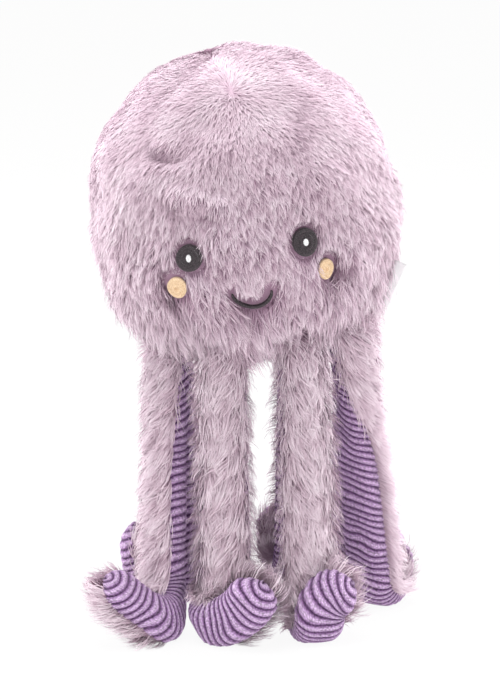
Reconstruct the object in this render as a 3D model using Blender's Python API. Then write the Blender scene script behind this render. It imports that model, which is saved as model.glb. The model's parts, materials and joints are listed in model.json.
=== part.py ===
"""A plush octopus that stands on eight arms.

The stuffed head is sewn from four fur panels that meet at a crown above the face, and a round base panel. Each arm
is a stuffed tube sewn from a fur strip, outside, and a ribbed strip, inside. The arms hang from the head's base and
curl up at their ends, where the ribbed side is the sole. Metres, +Z up, the face towards -Y. Azimuths are turned
from the front, and are positive towards +X.
"""

import math
from typing import NamedTuple

import bmesh
import bpy
from mathutils import Matrix, Vector

# Head
HEAD_RADIUS = 0.0795
HEAD_DROP = 0.0815  # from the head's centre down to its lowest point
HEAD_FULLNESS = 2.45  # 2 is an ellipse; more fills out the cheeks
HEAD_CENTRE_HEIGHT = 0.235
HEAD_ROLL_DEG = 8.0  # the head leans towards -X
CROWN_ELEVATION_DEG = 53.0
PANEL_THICKNESS = 0.003
PANEL_EDGES_DEG = (-58.0, 58.0, 148.0, 208.0)  # the seams' azimuths round the crown, from the face side
CROWN_HOLE_RADIUS = 0.0025
SEAM_VALLEY_DEPTH = 0.001
SEAM_VALLEY_POWER = 6  # more makes the valley narrower
SEAM_GAP = 0.0005
REST_GAP = 0.0003  # between pieces that touch
BASE_RIM_RADIUS = 0.0535

# Face
FACE_YAW_DEG = 0.7
THREAD_HEIGHT = 0.0018
PATCH_EDGE_DROP = 0.4  # how much lower a patch's edge is than its middle, as a share of the height
EYE_AZIMUTH_DEG = 22.9
EYE_ELEVATION_DEG = -9.6
EYE_HALF_WIDTH = 0.0072
EYE_HALF_HEIGHT = 0.0080
HIGHLIGHT_HALF_WIDTH = 0.0016
HIGHLIGHT_HALF_HEIGHT = 0.0019
CHEEK_AZIMUTH_DEG = 31.0
CHEEK_ELEVATION_DEG = -21.4
CHEEK_RADIUS = 0.0056
MOUTH_AZIMUTH_DEG = -0.3
MOUTH_ELEVATION_DEG = -25.8
MOUTH_HALF_WIDTH = 0.0106
MOUTH_DROP = 0.0072
MOUTH_THREAD_RADIUS = 0.0010
MOUTH_END_POWER = 0.25  # less makes the mouth's ends blunter

# Care label, a ribbon folded in two
LABEL_AZIMUTH_DEG = 82.0
LABEL_ELEVATION_DEG = -38.0
LABEL_TILT_DEG = -31.0
LABEL_WIDTH = 0.026
LABEL_LENGTH = 0.0125
LABEL_THICKNESS = 0.0004
LABEL_FOLD_RADIUS = 0.0006
LABEL_ROOT_GAP = 0.00015  # between the ribbon's ends, where the seam holds them
LABEL_FOLD_SHARE = 0.15  # of the ribbon's cells, on each side of the fold's middle

# Arms
ROOT_RING_RADIUS = 0.050  # the ring on the head's base that the arms touch
ROOT_HALF_WIDTH = 0.0105
ROOT_HALF_DEPTH = 0.0080
FOOT_HALF_WIDTH = 0.0132
FOOT_HALF_DEPTH = 0.0090
CURL_SURPLUS = 0.038  # arm length past the roots' mean height
TWIST_SHARE = 0.55  # of the shaft, from its root, over which it twists
TIP_ROUNDING = 0.011
SKIN_THICKNESS = 0.002
STUFFING_GAP = 0.0010
FLOOR_CUT = 0.0005  # the soles are flat where they stand
CUTTER_SIZE = 0.6

# Facets
ARM_CELLS_AROUND = 6
HEAD_STUFFING_SECTORS = 16
HEAD_STUFFING_RINGS = 12
PANEL_CELLS_ALONG = 14
PANEL_CELL_DEG = 10.0
BASE_SECTORS = 32
BASE_RINGS = 11
PATCH_SECTORS = 14
PATCH_RINGS = 5
MOUTH_SECTORS = 8
MOUTH_CELLS = 12
MOUTH_STEP = 0.01  # radians between the points that give the mouth's direction
LABEL_CELLS = 14
PATH_STEPS = 60
PATH_FITS = 12  # rounds that bring an arm's sole down to the floor
ROOT_END_DEG = 0.1  # where the stuffing's first cross-section closes
CREASE_DEG = 50.0  # edges sharper than this stay sharp in shading

# Where an arm's cross-sections lie: angles over the domed root, shares of the shaft and of the curl, and angles over
# the rounded tip
ROOT_DOME_DEG = (14.0, 34.0, 60.0)
SHAFT_SHARES = (0.0, 0.34, 0.70)
CURL_SHARES = (0.0, 0.09, 0.18, 0.27, 0.36, 0.45, 0.54, 0.63, 0.80)
TIP_DOME_DEG = (0.0, 32.0, 58.0, 80.0)


class Turn(NamedTuple):
    """How the arm lies at a share of its curl: where its tip points, and where its ribbed sole faces."""

    curl_share: float
    tip_azimuth_deg: float
    tip_elevation_deg: float
    sole_azimuth_deg: float
    sole_elevation_deg: float


class Arm(NamedTuple):
    name: str
    azimuth_deg: float
    lean_out_deg: float
    lean_side_deg: float
    twist_deg: float
    turns: tuple


def hook(azimuth_deg):
    """The turns of an arm that curls up in one plane, towards an azimuth."""
    return (
        Turn(0.31, azimuth_deg, 0.0, azimuth_deg, -90.0),
        Turn(0.62, azimuth_deg, 80.0, azimuth_deg, -10.0),
        Turn(1.00, azimuth_deg, 88.0, azimuth_deg, -2.0),
    )


ARMS = (
    Arm(
        "front_left", -22.5, 1.0, 1.0, 0.0,
        (
            Turn(0.25, -60.0, -46.0, -140.0, -25.0),
            Turn(0.50, 68.0, 20.0, -4.0, 0.0),
            Turn(1.00, 40.0, 72.0, -8.0, 0.0),
        ),
    ),
    Arm(
        "left_front", -67.5, 4.0, 7.0, -20.0,
        (
            Turn(0.34, -8.0, -22.0, 82.0, 14.0),
            Turn(0.62, -78.0, 36.0, 56.0, 52.0),
            Turn(1.00, -80.0, 48.0, 56.0, 50.0),
        ),
    ),
    Arm("left_back", -112.5, -6.0, 5.0, 0.0, hook(-100.0)),
    Arm("back_left", -157.5, 0.0, 1.0, 0.0, hook(-157.5)),
    Arm("back_right", 157.5, 0.0, 0.0, 0.0, hook(-150.0)),
    Arm("right_back", 112.5, 3.0, 6.0, 0.0, hook(112.0)),
    Arm("right_front", 58.5, -1.0, 13.0, 81.0, hook(150.0)),
    Arm(
        "front_right", 22.5, 1.0, 1.5, 0.0,
        (
            Turn(0.26, 20.0, -10.0, 35.0, -80.0),
            Turn(0.48, 18.0, 84.0, 12.0, -6.0),
            Turn(0.77, 88.0, 38.0, 5.0, 5.0),
            Turn(1.00, 95.0, -28.0, 5.0, 5.0),
        ),
    ),
)


# Scene, materials and objects


def empty_scene():
    for old in list(bpy.data.objects):
        bpy.data.objects.remove(old, do_unlink=True)


def new_collection(name):
    made = bpy.data.collections.new(name)
    bpy.context.scene.collection.children.link(made)
    return made


def linear(byte):
    share = byte / 255.0
    return share / 12.92 if share <= 0.04045 else ((share + 0.055) / 1.055) ** 2.4


def new_material(name, hex_colour, roughness):
    made = bpy.data.materials.new(name)
    made.use_nodes = True
    shader = made.node_tree.nodes["Principled BSDF"]
    channels = [linear(int(hex_colour[k : k + 2], 16)) for k in (1, 3, 5)]
    shader.inputs["Base Color"].default_value = (*channels, 1.0)
    shader.inputs["Roughness"].default_value = roughness
    shader.inputs["Metallic"].default_value = 0.0
    made.diffuse_color = (*channels, 1.0)
    return made


def new_empty(name, collection, matrix):
    made = bpy.data.objects.new(name, None)
    made.empty_display_size = ROOT_HALF_WIDTH
    made.matrix_world = matrix
    collection.objects.link(made)
    return made


def add_object(name, shape, collection, material, parent):
    """An object from a bmesh whose points are in its parent's axes."""
    bmesh.ops.recalc_face_normals(shape, faces=shape.faces)
    if shape.calc_volume(signed=True) < 0.0:
        bmesh.ops.reverse_faces(shape, faces=shape.faces)
    mesh = bpy.data.meshes.new(name)
    shape.to_mesh(mesh)
    shape.free()
    if material is not None:
        mesh.materials.append(material)
    mesh.shade_smooth()
    mesh.set_sharp_from_angle(angle=math.radians(CREASE_DEG))
    made = bpy.data.objects.new(name, mesh)
    made.parent = parent
    collection.objects.link(made)
    return made


def cut(target, cutter):
    boolean = target.modifiers.new("Cut", "BOOLEAN")
    boolean.operation = "DIFFERENCE"
    boolean.solver = "EXACT"
    boolean.object = cutter


def as_cutter(made):
    made.hide_render = True
    made.display_type = "WIRE"
    return made


# Shapes bent from flat and round blanks


def bent_strip(along, around, place):
    """A flat slab of along by around cells, each vertex put at place(share along, share around, layer), where
    layer is 0 on the outside and 1 on the inside."""
    shape = bmesh.new()
    bmesh.ops.create_grid(shape, x_segments=along, y_segments=around, size=1.0)
    raised = bmesh.ops.extrude_face_region(shape, geom=shape.faces[:])
    for item in raised["geom"]:
        if isinstance(item, bmesh.types.BMVert):
            item.co.z = 1.0
    for vertex in shape.verts:
        vertex.co = place((vertex.co.x + 1.0) / 2.0, (vertex.co.y + 1.0) / 2.0, vertex.co.z)
    return shape


def bent_disc(sectors, rings, place):
    """A flat disc with two layers, each vertex put at place(share of the radius, angle, layer). It starts as a ball
    with an odd count of rings, whose upper half becomes the outside and whose lower half the inside."""
    shape = bmesh.new()
    bmesh.ops.create_uvsphere(shape, u_segments=sectors, v_segments=rings, radius=1.0)
    for vertex in shape.verts:
        polar = math.acos(max(-1.0, min(1.0, vertex.co.z)))
        ring = round(polar / math.pi * rings)
        outer_rings = (rings - 1) // 2
        layer = 0.0 if ring <= outer_rings else 1.0
        share = (ring if layer == 0.0 else rings - ring) / outer_rings
        vertex.co = place(share, math.atan2(vertex.co.y, vertex.co.x), layer)
    return shape


def bent_ball(sectors, rings, place):
    """A closed ball, each vertex put at place(share along from pole to pole, angle round)."""
    shape = bmesh.new()
    bmesh.ops.create_uvsphere(shape, u_segments=sectors, v_segments=rings, radius=1.0)
    for vertex in shape.verts:
        polar = math.acos(max(-1.0, min(1.0, vertex.co.z)))
        vertex.co = place(polar / math.pi, math.atan2(vertex.co.y, vertex.co.x))
    return shape


# Head


def direction(azimuth_deg, elevation_deg):
    azimuth = math.radians(azimuth_deg)
    elevation = math.radians(elevation_deg)
    level = math.cos(elevation)
    return Vector((level * math.sin(azimuth), -level * math.cos(azimuth), math.sin(elevation)))


def head_reach(towards):
    """From the head's centre to its surface: a ball above, and a fuller one below that rounds out the cheeks."""
    if towards.z >= 0.0:
        return HEAD_RADIUS
    across = math.hypot(towards.x, towards.y) / HEAD_RADIUS
    down = -towards.z / HEAD_DROP
    return (across**HEAD_FULLNESS + down**HEAD_FULLNESS) ** (-1.0 / HEAD_FULLNESS)


def base_profile(radius):
    """The point and the outward normal of the head's underside at a radius, as (radius, height) pairs."""
    share = radius / HEAD_RADIUS
    down_share = (1.0 - share**HEAD_FULLNESS) ** (1.0 / HEAD_FULLNESS)
    normal = Vector(
        (share ** (HEAD_FULLNESS - 1.0) / HEAD_RADIUS, -(down_share ** (HEAD_FULLNESS - 1.0)) / HEAD_DROP)
    )
    return Vector((radius, -down_share * HEAD_DROP)), normal.normalized()


def base_rim_angle():
    rim, _ = base_profile(BASE_RIM_RADIUS)
    return math.atan2(rim.x, -rim.y)


def head_matrix():
    roll = Matrix.Rotation(math.radians(-HEAD_ROLL_DEG), 4, "Y")
    return Matrix.Translation((0.0, 0.0, HEAD_CENTRE_HEIGHT)) @ roll


def add_head_panels(collection, material, parent):
    """Four gores between seams that run from the crown, over the head, to the base panel."""
    crown = direction(0.0, CROWN_ELEVATION_DEG)
    faceward = direction(0.0, CROWN_ELEVATION_DEG - 90.0)
    sideward = Vector((1.0, 0.0, 0.0))
    start = CROWN_HOLE_RADIUS / HEAD_RADIUS
    opening = base_opening(parent)
    for name, low, high in zip(
        ("front", "right", "back", "left"),
        PANEL_EDGES_DEG,
        (*PANEL_EDGES_DEG[1:], PANEL_EDGES_DEG[0] + 360.0),
    ):

        def place(along, around, layer):
            polar = start + along * (math.pi - 2.0 * start)
            margin = math.degrees(SEAM_GAP / 2.0 / (HEAD_RADIUS * math.sin(polar)))
            turned = math.radians(low + margin + around * (high - low - 2.0 * margin))
            level = faceward * math.cos(turned) + sideward * math.sin(turned)
            towards = crown * math.cos(polar) + level * math.sin(polar)
            valley = SEAM_VALLEY_DEPTH * abs(2.0 * around - 1.0) ** SEAM_VALLEY_POWER
            return towards * (head_reach(towards) - valley - layer * PANEL_THICKNESS)

        cells = round((high - low) / PANEL_CELL_DEG)
        shape = bent_strip(PANEL_CELLS_ALONG, cells, place)
        panel = add_object(f"head_panel_{name}", shape, collection, material, parent)
        cut(panel, opening)


def base_opening(parent):
    """A cone from the head's centre that leaves the base panel's place open."""
    height = 2.0 * HEAD_DROP
    radius = math.tan(base_rim_angle() + SEAM_GAP / HEAD_RADIUS) * height
    shape = bmesh.new()
    bmesh.ops.create_cone(
        shape, cap_ends=True, segments=BASE_SECTORS, radius1=radius, radius2=0.0, depth=height,
        matrix=Matrix.Translation((0.0, 0.0, -height / 2.0)),
    )
    cutters = bpy.data.collections["cutters"]
    return as_cutter(add_object("base_opening", shape, cutters, None, parent))


def add_base_panel(collection, material, parent):
    rim = base_rim_angle()

    def place(share, angle, layer):
        polar = rim * share
        level = math.sin(polar)
        towards = Vector((level * math.cos(angle), level * math.sin(angle), -math.cos(polar)))
        return towards * (head_reach(towards) - layer * PANEL_THICKNESS)

    add_object("base_panel", bent_disc(BASE_SECTORS, BASE_RINGS, place), collection, material, parent)


def add_head_stuffing(collection, material, parent):
    inset = PANEL_THICKNESS + SEAM_VALLEY_DEPTH + STUFFING_GAP

    def place(along, angle):
        polar = along * math.pi
        level = math.sin(polar)
        towards = Vector((level * math.cos(angle), level * math.sin(angle), math.cos(polar)))
        return towards * (head_reach(towards) - inset)

    add_object(
        "head_stuffing", bent_ball(HEAD_STUFFING_SECTORS, HEAD_STUFFING_RINGS, place), collection,
        material, parent,
    )


# Face


def on_head(centre, right, up, height):
    """The point a height above the head's surface, right and up of a direction on it."""
    east = Vector((-centre.y, centre.x, 0.0)).normalized()
    north = centre.cross(east)
    towards = (centre * head_reach(centre) + east * right + north * up).normalized()
    return towards * (head_reach(towards) + height)


def add_patch(name, centre, half_width, half_height, lift, collection, material, parent):
    """An embroidered patch: a low cushion of thread that follows the head."""

    def place(share, angle, layer):
        right = half_width * share * math.cos(angle)
        up = half_height * share * math.sin(angle)
        crest = THREAD_HEIGHT * (1.0 - PATCH_EDGE_DROP * share * share)
        return on_head(centre, right, up, lift + (1.0 - layer) * crest)

    add_object(name, bent_disc(PATCH_SECTORS, PATCH_RINGS, place), collection, material, parent)


def add_face(collection, dark, white, tan, parent):
    over_eye = REST_GAP + THREAD_HEIGHT + REST_GAP
    for side, sign in (("left", -1.0), ("right", 1.0)):
        eye = direction(FACE_YAW_DEG + sign * EYE_AZIMUTH_DEG, EYE_ELEVATION_DEG)
        add_patch(f"eye_{side}", eye, EYE_HALF_WIDTH, EYE_HALF_HEIGHT, REST_GAP, collection, dark, parent)
        add_patch(
            f"eye_highlight_{side}", eye, HIGHLIGHT_HALF_WIDTH, HIGHLIGHT_HALF_HEIGHT, over_eye,
            collection, white, parent,
        )
        cheek = direction(FACE_YAW_DEG + sign * CHEEK_AZIMUTH_DEG, CHEEK_ELEVATION_DEG)
        add_patch(f"cheek_{side}", cheek, CHEEK_RADIUS, CHEEK_RADIUS, REST_GAP, collection, tan, parent)
    add_mouth(collection, dark, parent)


def add_mouth(collection, material, parent):
    """A smile: half an ellipse of thick thread laid on the face."""
    centre = direction(MOUTH_AZIMUTH_DEG, MOUTH_ELEVATION_DEG)
    lift = REST_GAP + MOUTH_THREAD_RADIUS

    def smile(turned):
        return on_head(centre, -MOUTH_HALF_WIDTH * math.cos(turned), -MOUTH_DROP * math.sin(turned), lift)

    def place(along, angle):
        turned = math.pi * along
        middle = smile(turned)
        outward = middle.normalized()
        across = (smile(turned + MOUTH_STEP) - middle).normalized().cross(outward)
        radius = MOUTH_THREAD_RADIUS * math.sin(turned) ** MOUTH_END_POWER
        return middle + radius * (across * math.cos(angle) + outward * math.sin(angle))

    add_object("mouth", bent_ball(MOUTH_SECTORS, MOUTH_CELLS, place), collection, material, parent)


# Care label


def label_matrix():
    """The label's axes: +X out of the head, +Y across its face, +Z along the seam."""
    towards = direction(LABEL_AZIMUTH_DEG, LABEL_ELEVATION_DEG)
    outward = direction(LABEL_AZIMUTH_DEG, LABEL_TILT_DEG)
    seat = REST_GAP - SEAM_VALLEY_DEPTH / 2.0
    root = towards * head_reach(towards) + outward * (seat + LABEL_FOLD_RADIUS + LABEL_THICKNESS)
    across = Vector((-outward.y, outward.x, 0.0)).normalized()
    along = outward.cross(across)
    turned = Matrix((outward, across, along)).transposed().to_4x4()
    return Matrix.Translation(root) @ turned


def add_label(collection, material, parent):
    """A ribbon folded at its free end: its path runs out, round the fold and back, and its ends meet at the seam."""
    root = -(LABEL_FOLD_RADIUS + LABEL_THICKNESS)
    fold = LABEL_LENGTH + root

    def place(along, around, layer):
        seam = LABEL_WIDTH * (around - 0.5)
        side = 2.0 * along - 1.0
        straight = 1.0 - 2.0 * LABEL_FOLD_SHARE
        thickness = (1.0 - layer) * LABEL_THICKNESS
        if abs(side) <= 1.0 - straight:
            turned = math.pi / 2.0 * side / (1.0 - straight)
            offset = LABEL_FOLD_RADIUS + thickness
            return Vector((fold + offset * math.cos(turned), offset * math.sin(turned), seam))
        share = (1.0 - abs(side)) / straight
        offset = LABEL_ROOT_GAP + (LABEL_FOLD_RADIUS - LABEL_ROOT_GAP) * eased(share) + thickness
        return Vector((root + (fold - root) * share, math.copysign(offset, side), seam))

    add_object("care_label", bent_strip(LABEL_CELLS, 1, place), collection, material, parent)


# Arms


def axes_from(tip, sole):
    """An arm's axes at one place: +X across it, +Y out of its ribbed side, +Z back towards its root."""
    back = -tip.normalized()
    ribbed = (sole - back * sole.dot(back)).normalized()
    across = ribbed.cross(back)
    return Matrix((across, ribbed, back)).transposed()


def shaft_axes(arm, twist_deg):
    turn = Matrix.Rotation(math.radians(arm.azimuth_deg), 3, "Z")
    lean_out = Matrix.Rotation(math.radians(-arm.lean_out_deg), 3, "X")
    lean_side = Matrix.Rotation(math.radians(-arm.lean_side_deg), 3, "Y")
    return turn @ lean_out @ lean_side @ Matrix.Rotation(math.radians(twist_deg), 3, "Z")


def curl_axes(arm):
    """The arm's axes at shares of its curl, from the end of the shaft to the tip."""
    keys = [(0.0, shaft_axes(arm, arm.twist_deg))]
    for turn in arm.turns:
        tip = direction(turn.tip_azimuth_deg, turn.tip_elevation_deg)
        sole = direction(turn.sole_azimuth_deg, turn.sole_elevation_deg)
        keys.append((turn.curl_share, axes_from(tip, sole)))
    return keys


def blended(keys, share):
    """The axes at a share, turned steadily from one key to the next."""
    for (low, before), (high, after) in zip(keys, keys[1:]):
        if share <= high:
            turned = (share - low) / (high - low)
            return before.to_quaternion().slerp(after.to_quaternion(), turned).to_matrix()
    return keys[-1][1]


def eased(share):
    share = max(0.0, min(1.0, share))
    return share * share * (3.0 - 2.0 * share)


def root_point(arm):
    """The middle of an arm's domed root, which lies against the head's base."""
    touch, normal = base_profile(ROOT_RING_RADIUS)
    clear = touch + normal * (ROOT_HALF_DEPTH + REST_GAP)
    azimuth = math.radians(arm.azimuth_deg)
    return head_matrix() @ Vector((clear.x * math.sin(azimuth), -clear.x * math.cos(azimuth), clear.y))


class Path:
    """An arm's middle line. The shaft ends where the curl below it just reaches the floor, and the curl takes what
    is left of the arm's length."""

    def __init__(self, arm):
        self.root = root_point(arm)
        self.start = shaft_axes(arm, 0.0)
        self.keys = curl_axes(arm)
        heights = [root_point(other).z for other in ARMS]
        self.length = sum(heights) / len(heights) + CURL_SURPLUS
        self.shaft = self.root.z - 2.0 * FOOT_HALF_DEPTH
        for _ in range(PATH_FITS):
            self.walk()
            self.shaft += self.lowest() + FLOOR_CUT
        self.walk()

    def axes(self, distance):
        if distance <= self.shaft:
            share = eased(distance / self.shaft / TWIST_SHARE)
            return self.start.to_quaternion().slerp(self.keys[0][1].to_quaternion(), share).to_matrix()
        return blended(self.keys, (distance - self.shaft) / (self.length - self.shaft))

    def walk(self):
        step = self.length / PATH_STEPS
        self.points = [self.root.copy()]
        for k in range(PATH_STEPS):
            back = self.axes((k + 0.5) * step).col[2]
            self.points.append(self.points[-1] - back * step)

    def point(self, distance):
        place = distance / self.length * PATH_STEPS
        k = min(int(place), PATH_STEPS - 1)
        return self.points[k].lerp(self.points[k + 1], place - k)

    def half_sizes(self, distance):
        """Half of the arm's width and depth, which swell from the root to the foot."""
        swell = eased(distance / self.length)
        width = ROOT_HALF_WIDTH + (FOOT_HALF_WIDTH - ROOT_HALF_WIDTH) * swell
        depth = ROOT_HALF_DEPTH + (FOOT_HALF_DEPTH - ROOT_HALF_DEPTH) * swell
        return width, depth

    def lowest(self):
        """The height of the lowest corner of the arm's facets."""
        found = []
        for distance, dome in self.stations():
            middle, axes, width, depth = self.section(distance, dome, 0.0)
            for k in range(2 * ARM_CELLS_AROUND):
                angle = math.pi * k / ARM_CELLS_AROUND
                rise = width * math.cos(angle) * axes.col[0].z + depth * math.sin(angle) * axes.col[1].z
                found.append(middle.z + rise)
        return min(found)

    def section(self, distance, dome, inset):
        """The middle, the axes and the half sizes of a cross-section. A dome is the angle from the end of a rounded
        root, below zero, or tip, above zero."""
        distance = max(0.0, min(self.length - TIP_ROUNDING, distance))
        axes = self.axes(distance)
        width, depth = self.half_sizes(distance)
        width -= inset
        depth -= inset
        middle = self.point(distance)
        if dome < 0.0:
            middle = middle + axes.col[2] * (ROOT_HALF_DEPTH - inset) * math.cos(dome)
            return middle, axes, -width * math.sin(dome), -depth * math.sin(dome)
        if dome > 0.0:
            middle = middle - axes.col[2] * (TIP_ROUNDING - inset) * math.sin(dome)
            return middle, axes, width * math.cos(dome), depth * math.cos(dome)
        return middle, axes, width, depth

    def stations(self):
        """Where the cross-sections lie, as (distance, dome) pairs."""
        curl = self.length - TIP_ROUNDING - self.shaft
        root = [(0.0, -math.radians(angle)) for angle in ROOT_DOME_DEG]
        shaft = [(share * self.shaft, 0.0) for share in SHAFT_SHARES]
        turns = [(self.shaft + share * curl, 0.0) for share in CURL_SHARES]
        tip = [(self.length, math.radians(angle)) for angle in TIP_DOME_DEG]
        return root + shaft + turns + tip


def add_skin(name, path, home, ribbed, collection, material, parent):
    """One half of an arm's cover, between its two long seams."""
    stations = path.stations()
    side = 1.0 if ribbed else -1.0

    def place(along, around, layer):
        distance, dome = stations[round(along * (len(stations) - 1))]
        middle, axes, width, depth = path.section(distance, dome, layer * SKIN_THICKNESS)
        angle = math.pi * around
        across = axes.col[0] * width * math.cos(angle)
        out = axes.col[1] * side * (depth * math.sin(angle) + SEAM_GAP / 2.0)
        return home @ (middle + across + out)

    shape = bent_strip(len(stations) - 1, ARM_CELLS_AROUND, place)
    return add_object(name, shape, collection, material, parent)


def add_arm_stuffing(name, path, home, collection, material, parent):
    """A closed body inside the skins, with its cross-sections where theirs are."""
    root_end = (0.0, -math.radians(ROOT_END_DEG))
    tip_end = (path.length, math.radians(90.0))
    stations = [root_end, *path.stations(), tip_end]

    def place(along, angle):
        distance, dome = stations[round(along * (len(stations) - 1))]
        middle, axes, width, depth = path.section(distance, dome, SKIN_THICKNESS + STUFFING_GAP)
        across = axes.col[0] * width * math.cos(angle)
        out = axes.col[1] * depth * math.sin(angle)
        return home @ (middle + across + out)

    shape = bent_ball(ARM_CELLS_AROUND, len(stations) - 1, place)
    return add_object(name, shape, collection, material, parent)


def floor_cutter(collection):
    shape = bmesh.new()
    size = Matrix.Diagonal((CUTTER_SIZE, CUTTER_SIZE, CUTTER_SIZE, 1.0))
    bmesh.ops.create_cube(
        shape, size=1.0, matrix=Matrix.Translation((0.0, 0.0, -CUTTER_SIZE / 2.0)) @ size
    )
    return as_cutter(add_object("floor", shape, collection, None, None))


def add_arm(arm, collection, floor, fur, knit, filling):
    path = Path(arm)
    turn = Matrix.Rotation(math.radians(arm.azimuth_deg), 4, "Z")
    frame = Matrix.Translation(path.root) @ turn
    home = frame.inverted()
    pivot = new_empty(f"pivot_{arm.name}", collection, frame)
    name = f"arm_{arm.name}"
    outer = add_skin(f"{name}_fur", path, home, False, collection, fur, pivot)
    inner = add_skin(f"{name}_rib", path, home, True, collection, knit, pivot)
    add_arm_stuffing(f"{name}_stuffing", path, home, collection, filling, pivot)
    for skin in (outer, inner):
        cut(skin, floor)
    return pivot


def centred(roots, collection):
    """Moves the whole toy level, so that the middle of its outline is at the origin."""
    bpy.context.view_layer.update()
    graph = bpy.context.evaluated_depsgraph_get()
    found = []
    for made in collection.objects:
        if made.type == "MESH":
            shown = made.evaluated_get(graph)
            found += [shown.matrix_world @ vertex.co for vertex in shown.data.vertices]
    for axis in (0, 1):
        middle = (min(place[axis] for place in found) + max(place[axis] for place in found)) / 2.0
        for root in roots:
            root.location[axis] -= middle


def main():
    empty_scene()
    parts = new_collection("plush_octopus")
    cutters = new_collection("cutters")
    fur = new_material("lilac_fur", "#DCC8D8", 0.9)
    knit = new_material("purple_rib_knit", "#9B78B8", 0.85)
    filling = new_material("polyester_fibre", "#F2F0EC", 0.95)
    dark = new_material("black_thread", "#2D282C", 0.5)
    white = new_material("white_thread", "#F5F5F5", 0.5)
    tan = new_material("tan_thread", "#E8C9A0", 0.55)
    ribbon = new_material("label_ribbon", "#F7F7F5", 0.7)

    head = new_empty("head", parts, head_matrix())
    add_head_panels(parts, fur, head)
    add_base_panel(parts, fur, head)
    add_head_stuffing(parts, filling, head)
    add_face(parts, dark, white, tan, head)
    label_pivot = new_empty("pivot_care_label", parts, head_matrix() @ label_matrix())
    add_label(parts, ribbon, label_pivot)

    floor = floor_cutter(cutters)
    pivots = [add_arm(arm, parts, floor, fur, knit, filling) for arm in ARMS]
    centred([head, label_pivot, *pivots], parts)


main()
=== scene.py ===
"""Looks of a plush octopus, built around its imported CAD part. Metres, +Z up, the face towards -Y."""

import json
import math

import bpy
import numpy as np
from mathutils import Matrix, Vector


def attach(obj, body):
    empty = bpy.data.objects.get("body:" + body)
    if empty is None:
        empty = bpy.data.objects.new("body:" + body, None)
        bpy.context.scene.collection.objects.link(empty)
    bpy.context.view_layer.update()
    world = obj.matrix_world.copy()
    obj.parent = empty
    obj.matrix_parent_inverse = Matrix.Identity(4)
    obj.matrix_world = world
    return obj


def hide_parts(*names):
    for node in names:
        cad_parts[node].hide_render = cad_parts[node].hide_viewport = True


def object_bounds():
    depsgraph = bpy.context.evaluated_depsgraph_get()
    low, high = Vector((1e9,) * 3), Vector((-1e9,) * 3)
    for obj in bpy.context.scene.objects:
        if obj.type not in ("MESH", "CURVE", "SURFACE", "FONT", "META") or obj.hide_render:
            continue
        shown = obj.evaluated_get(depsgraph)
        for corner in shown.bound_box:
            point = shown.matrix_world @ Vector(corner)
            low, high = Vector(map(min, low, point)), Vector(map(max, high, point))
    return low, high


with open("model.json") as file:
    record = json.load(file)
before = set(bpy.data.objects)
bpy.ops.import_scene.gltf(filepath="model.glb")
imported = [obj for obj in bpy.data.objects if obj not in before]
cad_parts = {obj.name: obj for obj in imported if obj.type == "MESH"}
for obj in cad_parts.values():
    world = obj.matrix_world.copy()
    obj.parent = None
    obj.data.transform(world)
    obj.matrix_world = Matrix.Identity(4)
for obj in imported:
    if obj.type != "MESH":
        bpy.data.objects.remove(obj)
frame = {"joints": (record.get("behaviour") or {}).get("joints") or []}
cad_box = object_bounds()


# Floor, light and camera
# The toy stands on a pale seamless sheet inside a light tent, so light comes from all sides. Soft lamps above
# it, low in front of it and at both sides add to it. The camera looks down a little with a long lens.

FLOOR_SIZE = 12.0
FLOOR_GLOW = 0.92  # how much of the floor's white is its own, so that the toy's shadow on it stays pale
FLOOR_LIGHT = 0.37  # the same for the light that it casts on the toy
TENT_LIGHT = 0.71
TOP_LAMP_SIZE = 0.9
TOP_LAMP_POWER = 17.0
TOP_LAMP_PLACE = (-0.1, -0.05, 1.4)
FRONT_LAMP_SIZE = 0.8
FRONT_LAMP_POWER = 8.5
FRONT_LAMP_PLACE = (0.2, -1.4, 0.05)
SIDE_LAMP_SIZE = 0.7
SIDE_LAMP_POWER = 13.0
SIDE_LAMP_PLACES = ((-1.1, 0.45, 0.45), (1.1, 0.45, 0.45))
CAMERA_ELEVATION_DEG = 13.0
CAMERA_DISTANCE = 2.0
CAMERA_SEES = 50.0  # how far, which is past the sheet's far edge
METRES_PER_PIXEL = 0.00055
PHOTO_WIDTH = 500
PHOTO_HEIGHT = 700
SENSOR_MM = 36.0
HEAD_COLUMN = 243  # where the middle of the head shows in the photograph
HEAD_ROW = 197
NEW_RAMP_STOPS = 2  # that a colour ramp has when it is added

camera_elevation = math.radians(CAMERA_ELEVATION_DEG)
to_camera = Vector((0.0, -math.cos(camera_elevation), math.sin(camera_elevation)))
camera_up = Vector((0.0, math.sin(camera_elevation), math.cos(camera_elevation)))


def to_linear(colour):
    """The linear red, green, blue and alpha of an sRGB hex colour: a share s is s / 12.92 where it is dark,
    and ((s + 0.055) / 1.055)^2.4 elsewhere."""
    shares = [int(colour[k : k + 2], 16) / 255.0 for k in (1, 3, 5)]
    return (*(s / 12.92 if s <= 0.04045 else ((s + 0.055) / 1.055) ** 2.4 for s in shares), 1.0)


def set_inputs(tree, node, inputs):
    """Sets a node's inputs, by name or number, to values, or links them to output sockets."""
    for key, value in inputs.items():
        if isinstance(value, bpy.types.NodeSocket):
            tree.links.new(value, node.inputs[key])
        else:
            node.inputs[key].default_value = value


def add_node(tree, kind, inputs=None, stops=(), **settings):
    """Adds a node with its inputs and settings. Stops are a ramp's places and colours, first those of its
    ends."""
    node = tree.nodes.new(kind)
    for key, value in settings.items():
        setattr(node, key, value)
    set_inputs(tree, node, inputs or {})
    for k, (place, colour) in enumerate(stops):
        ramp = node.color_ramp.elements
        point = ramp[k] if k < NEW_RAMP_STOPS else ramp.new(place)
        point.position = place
        point.color = to_linear(colour)
    return node


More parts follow.
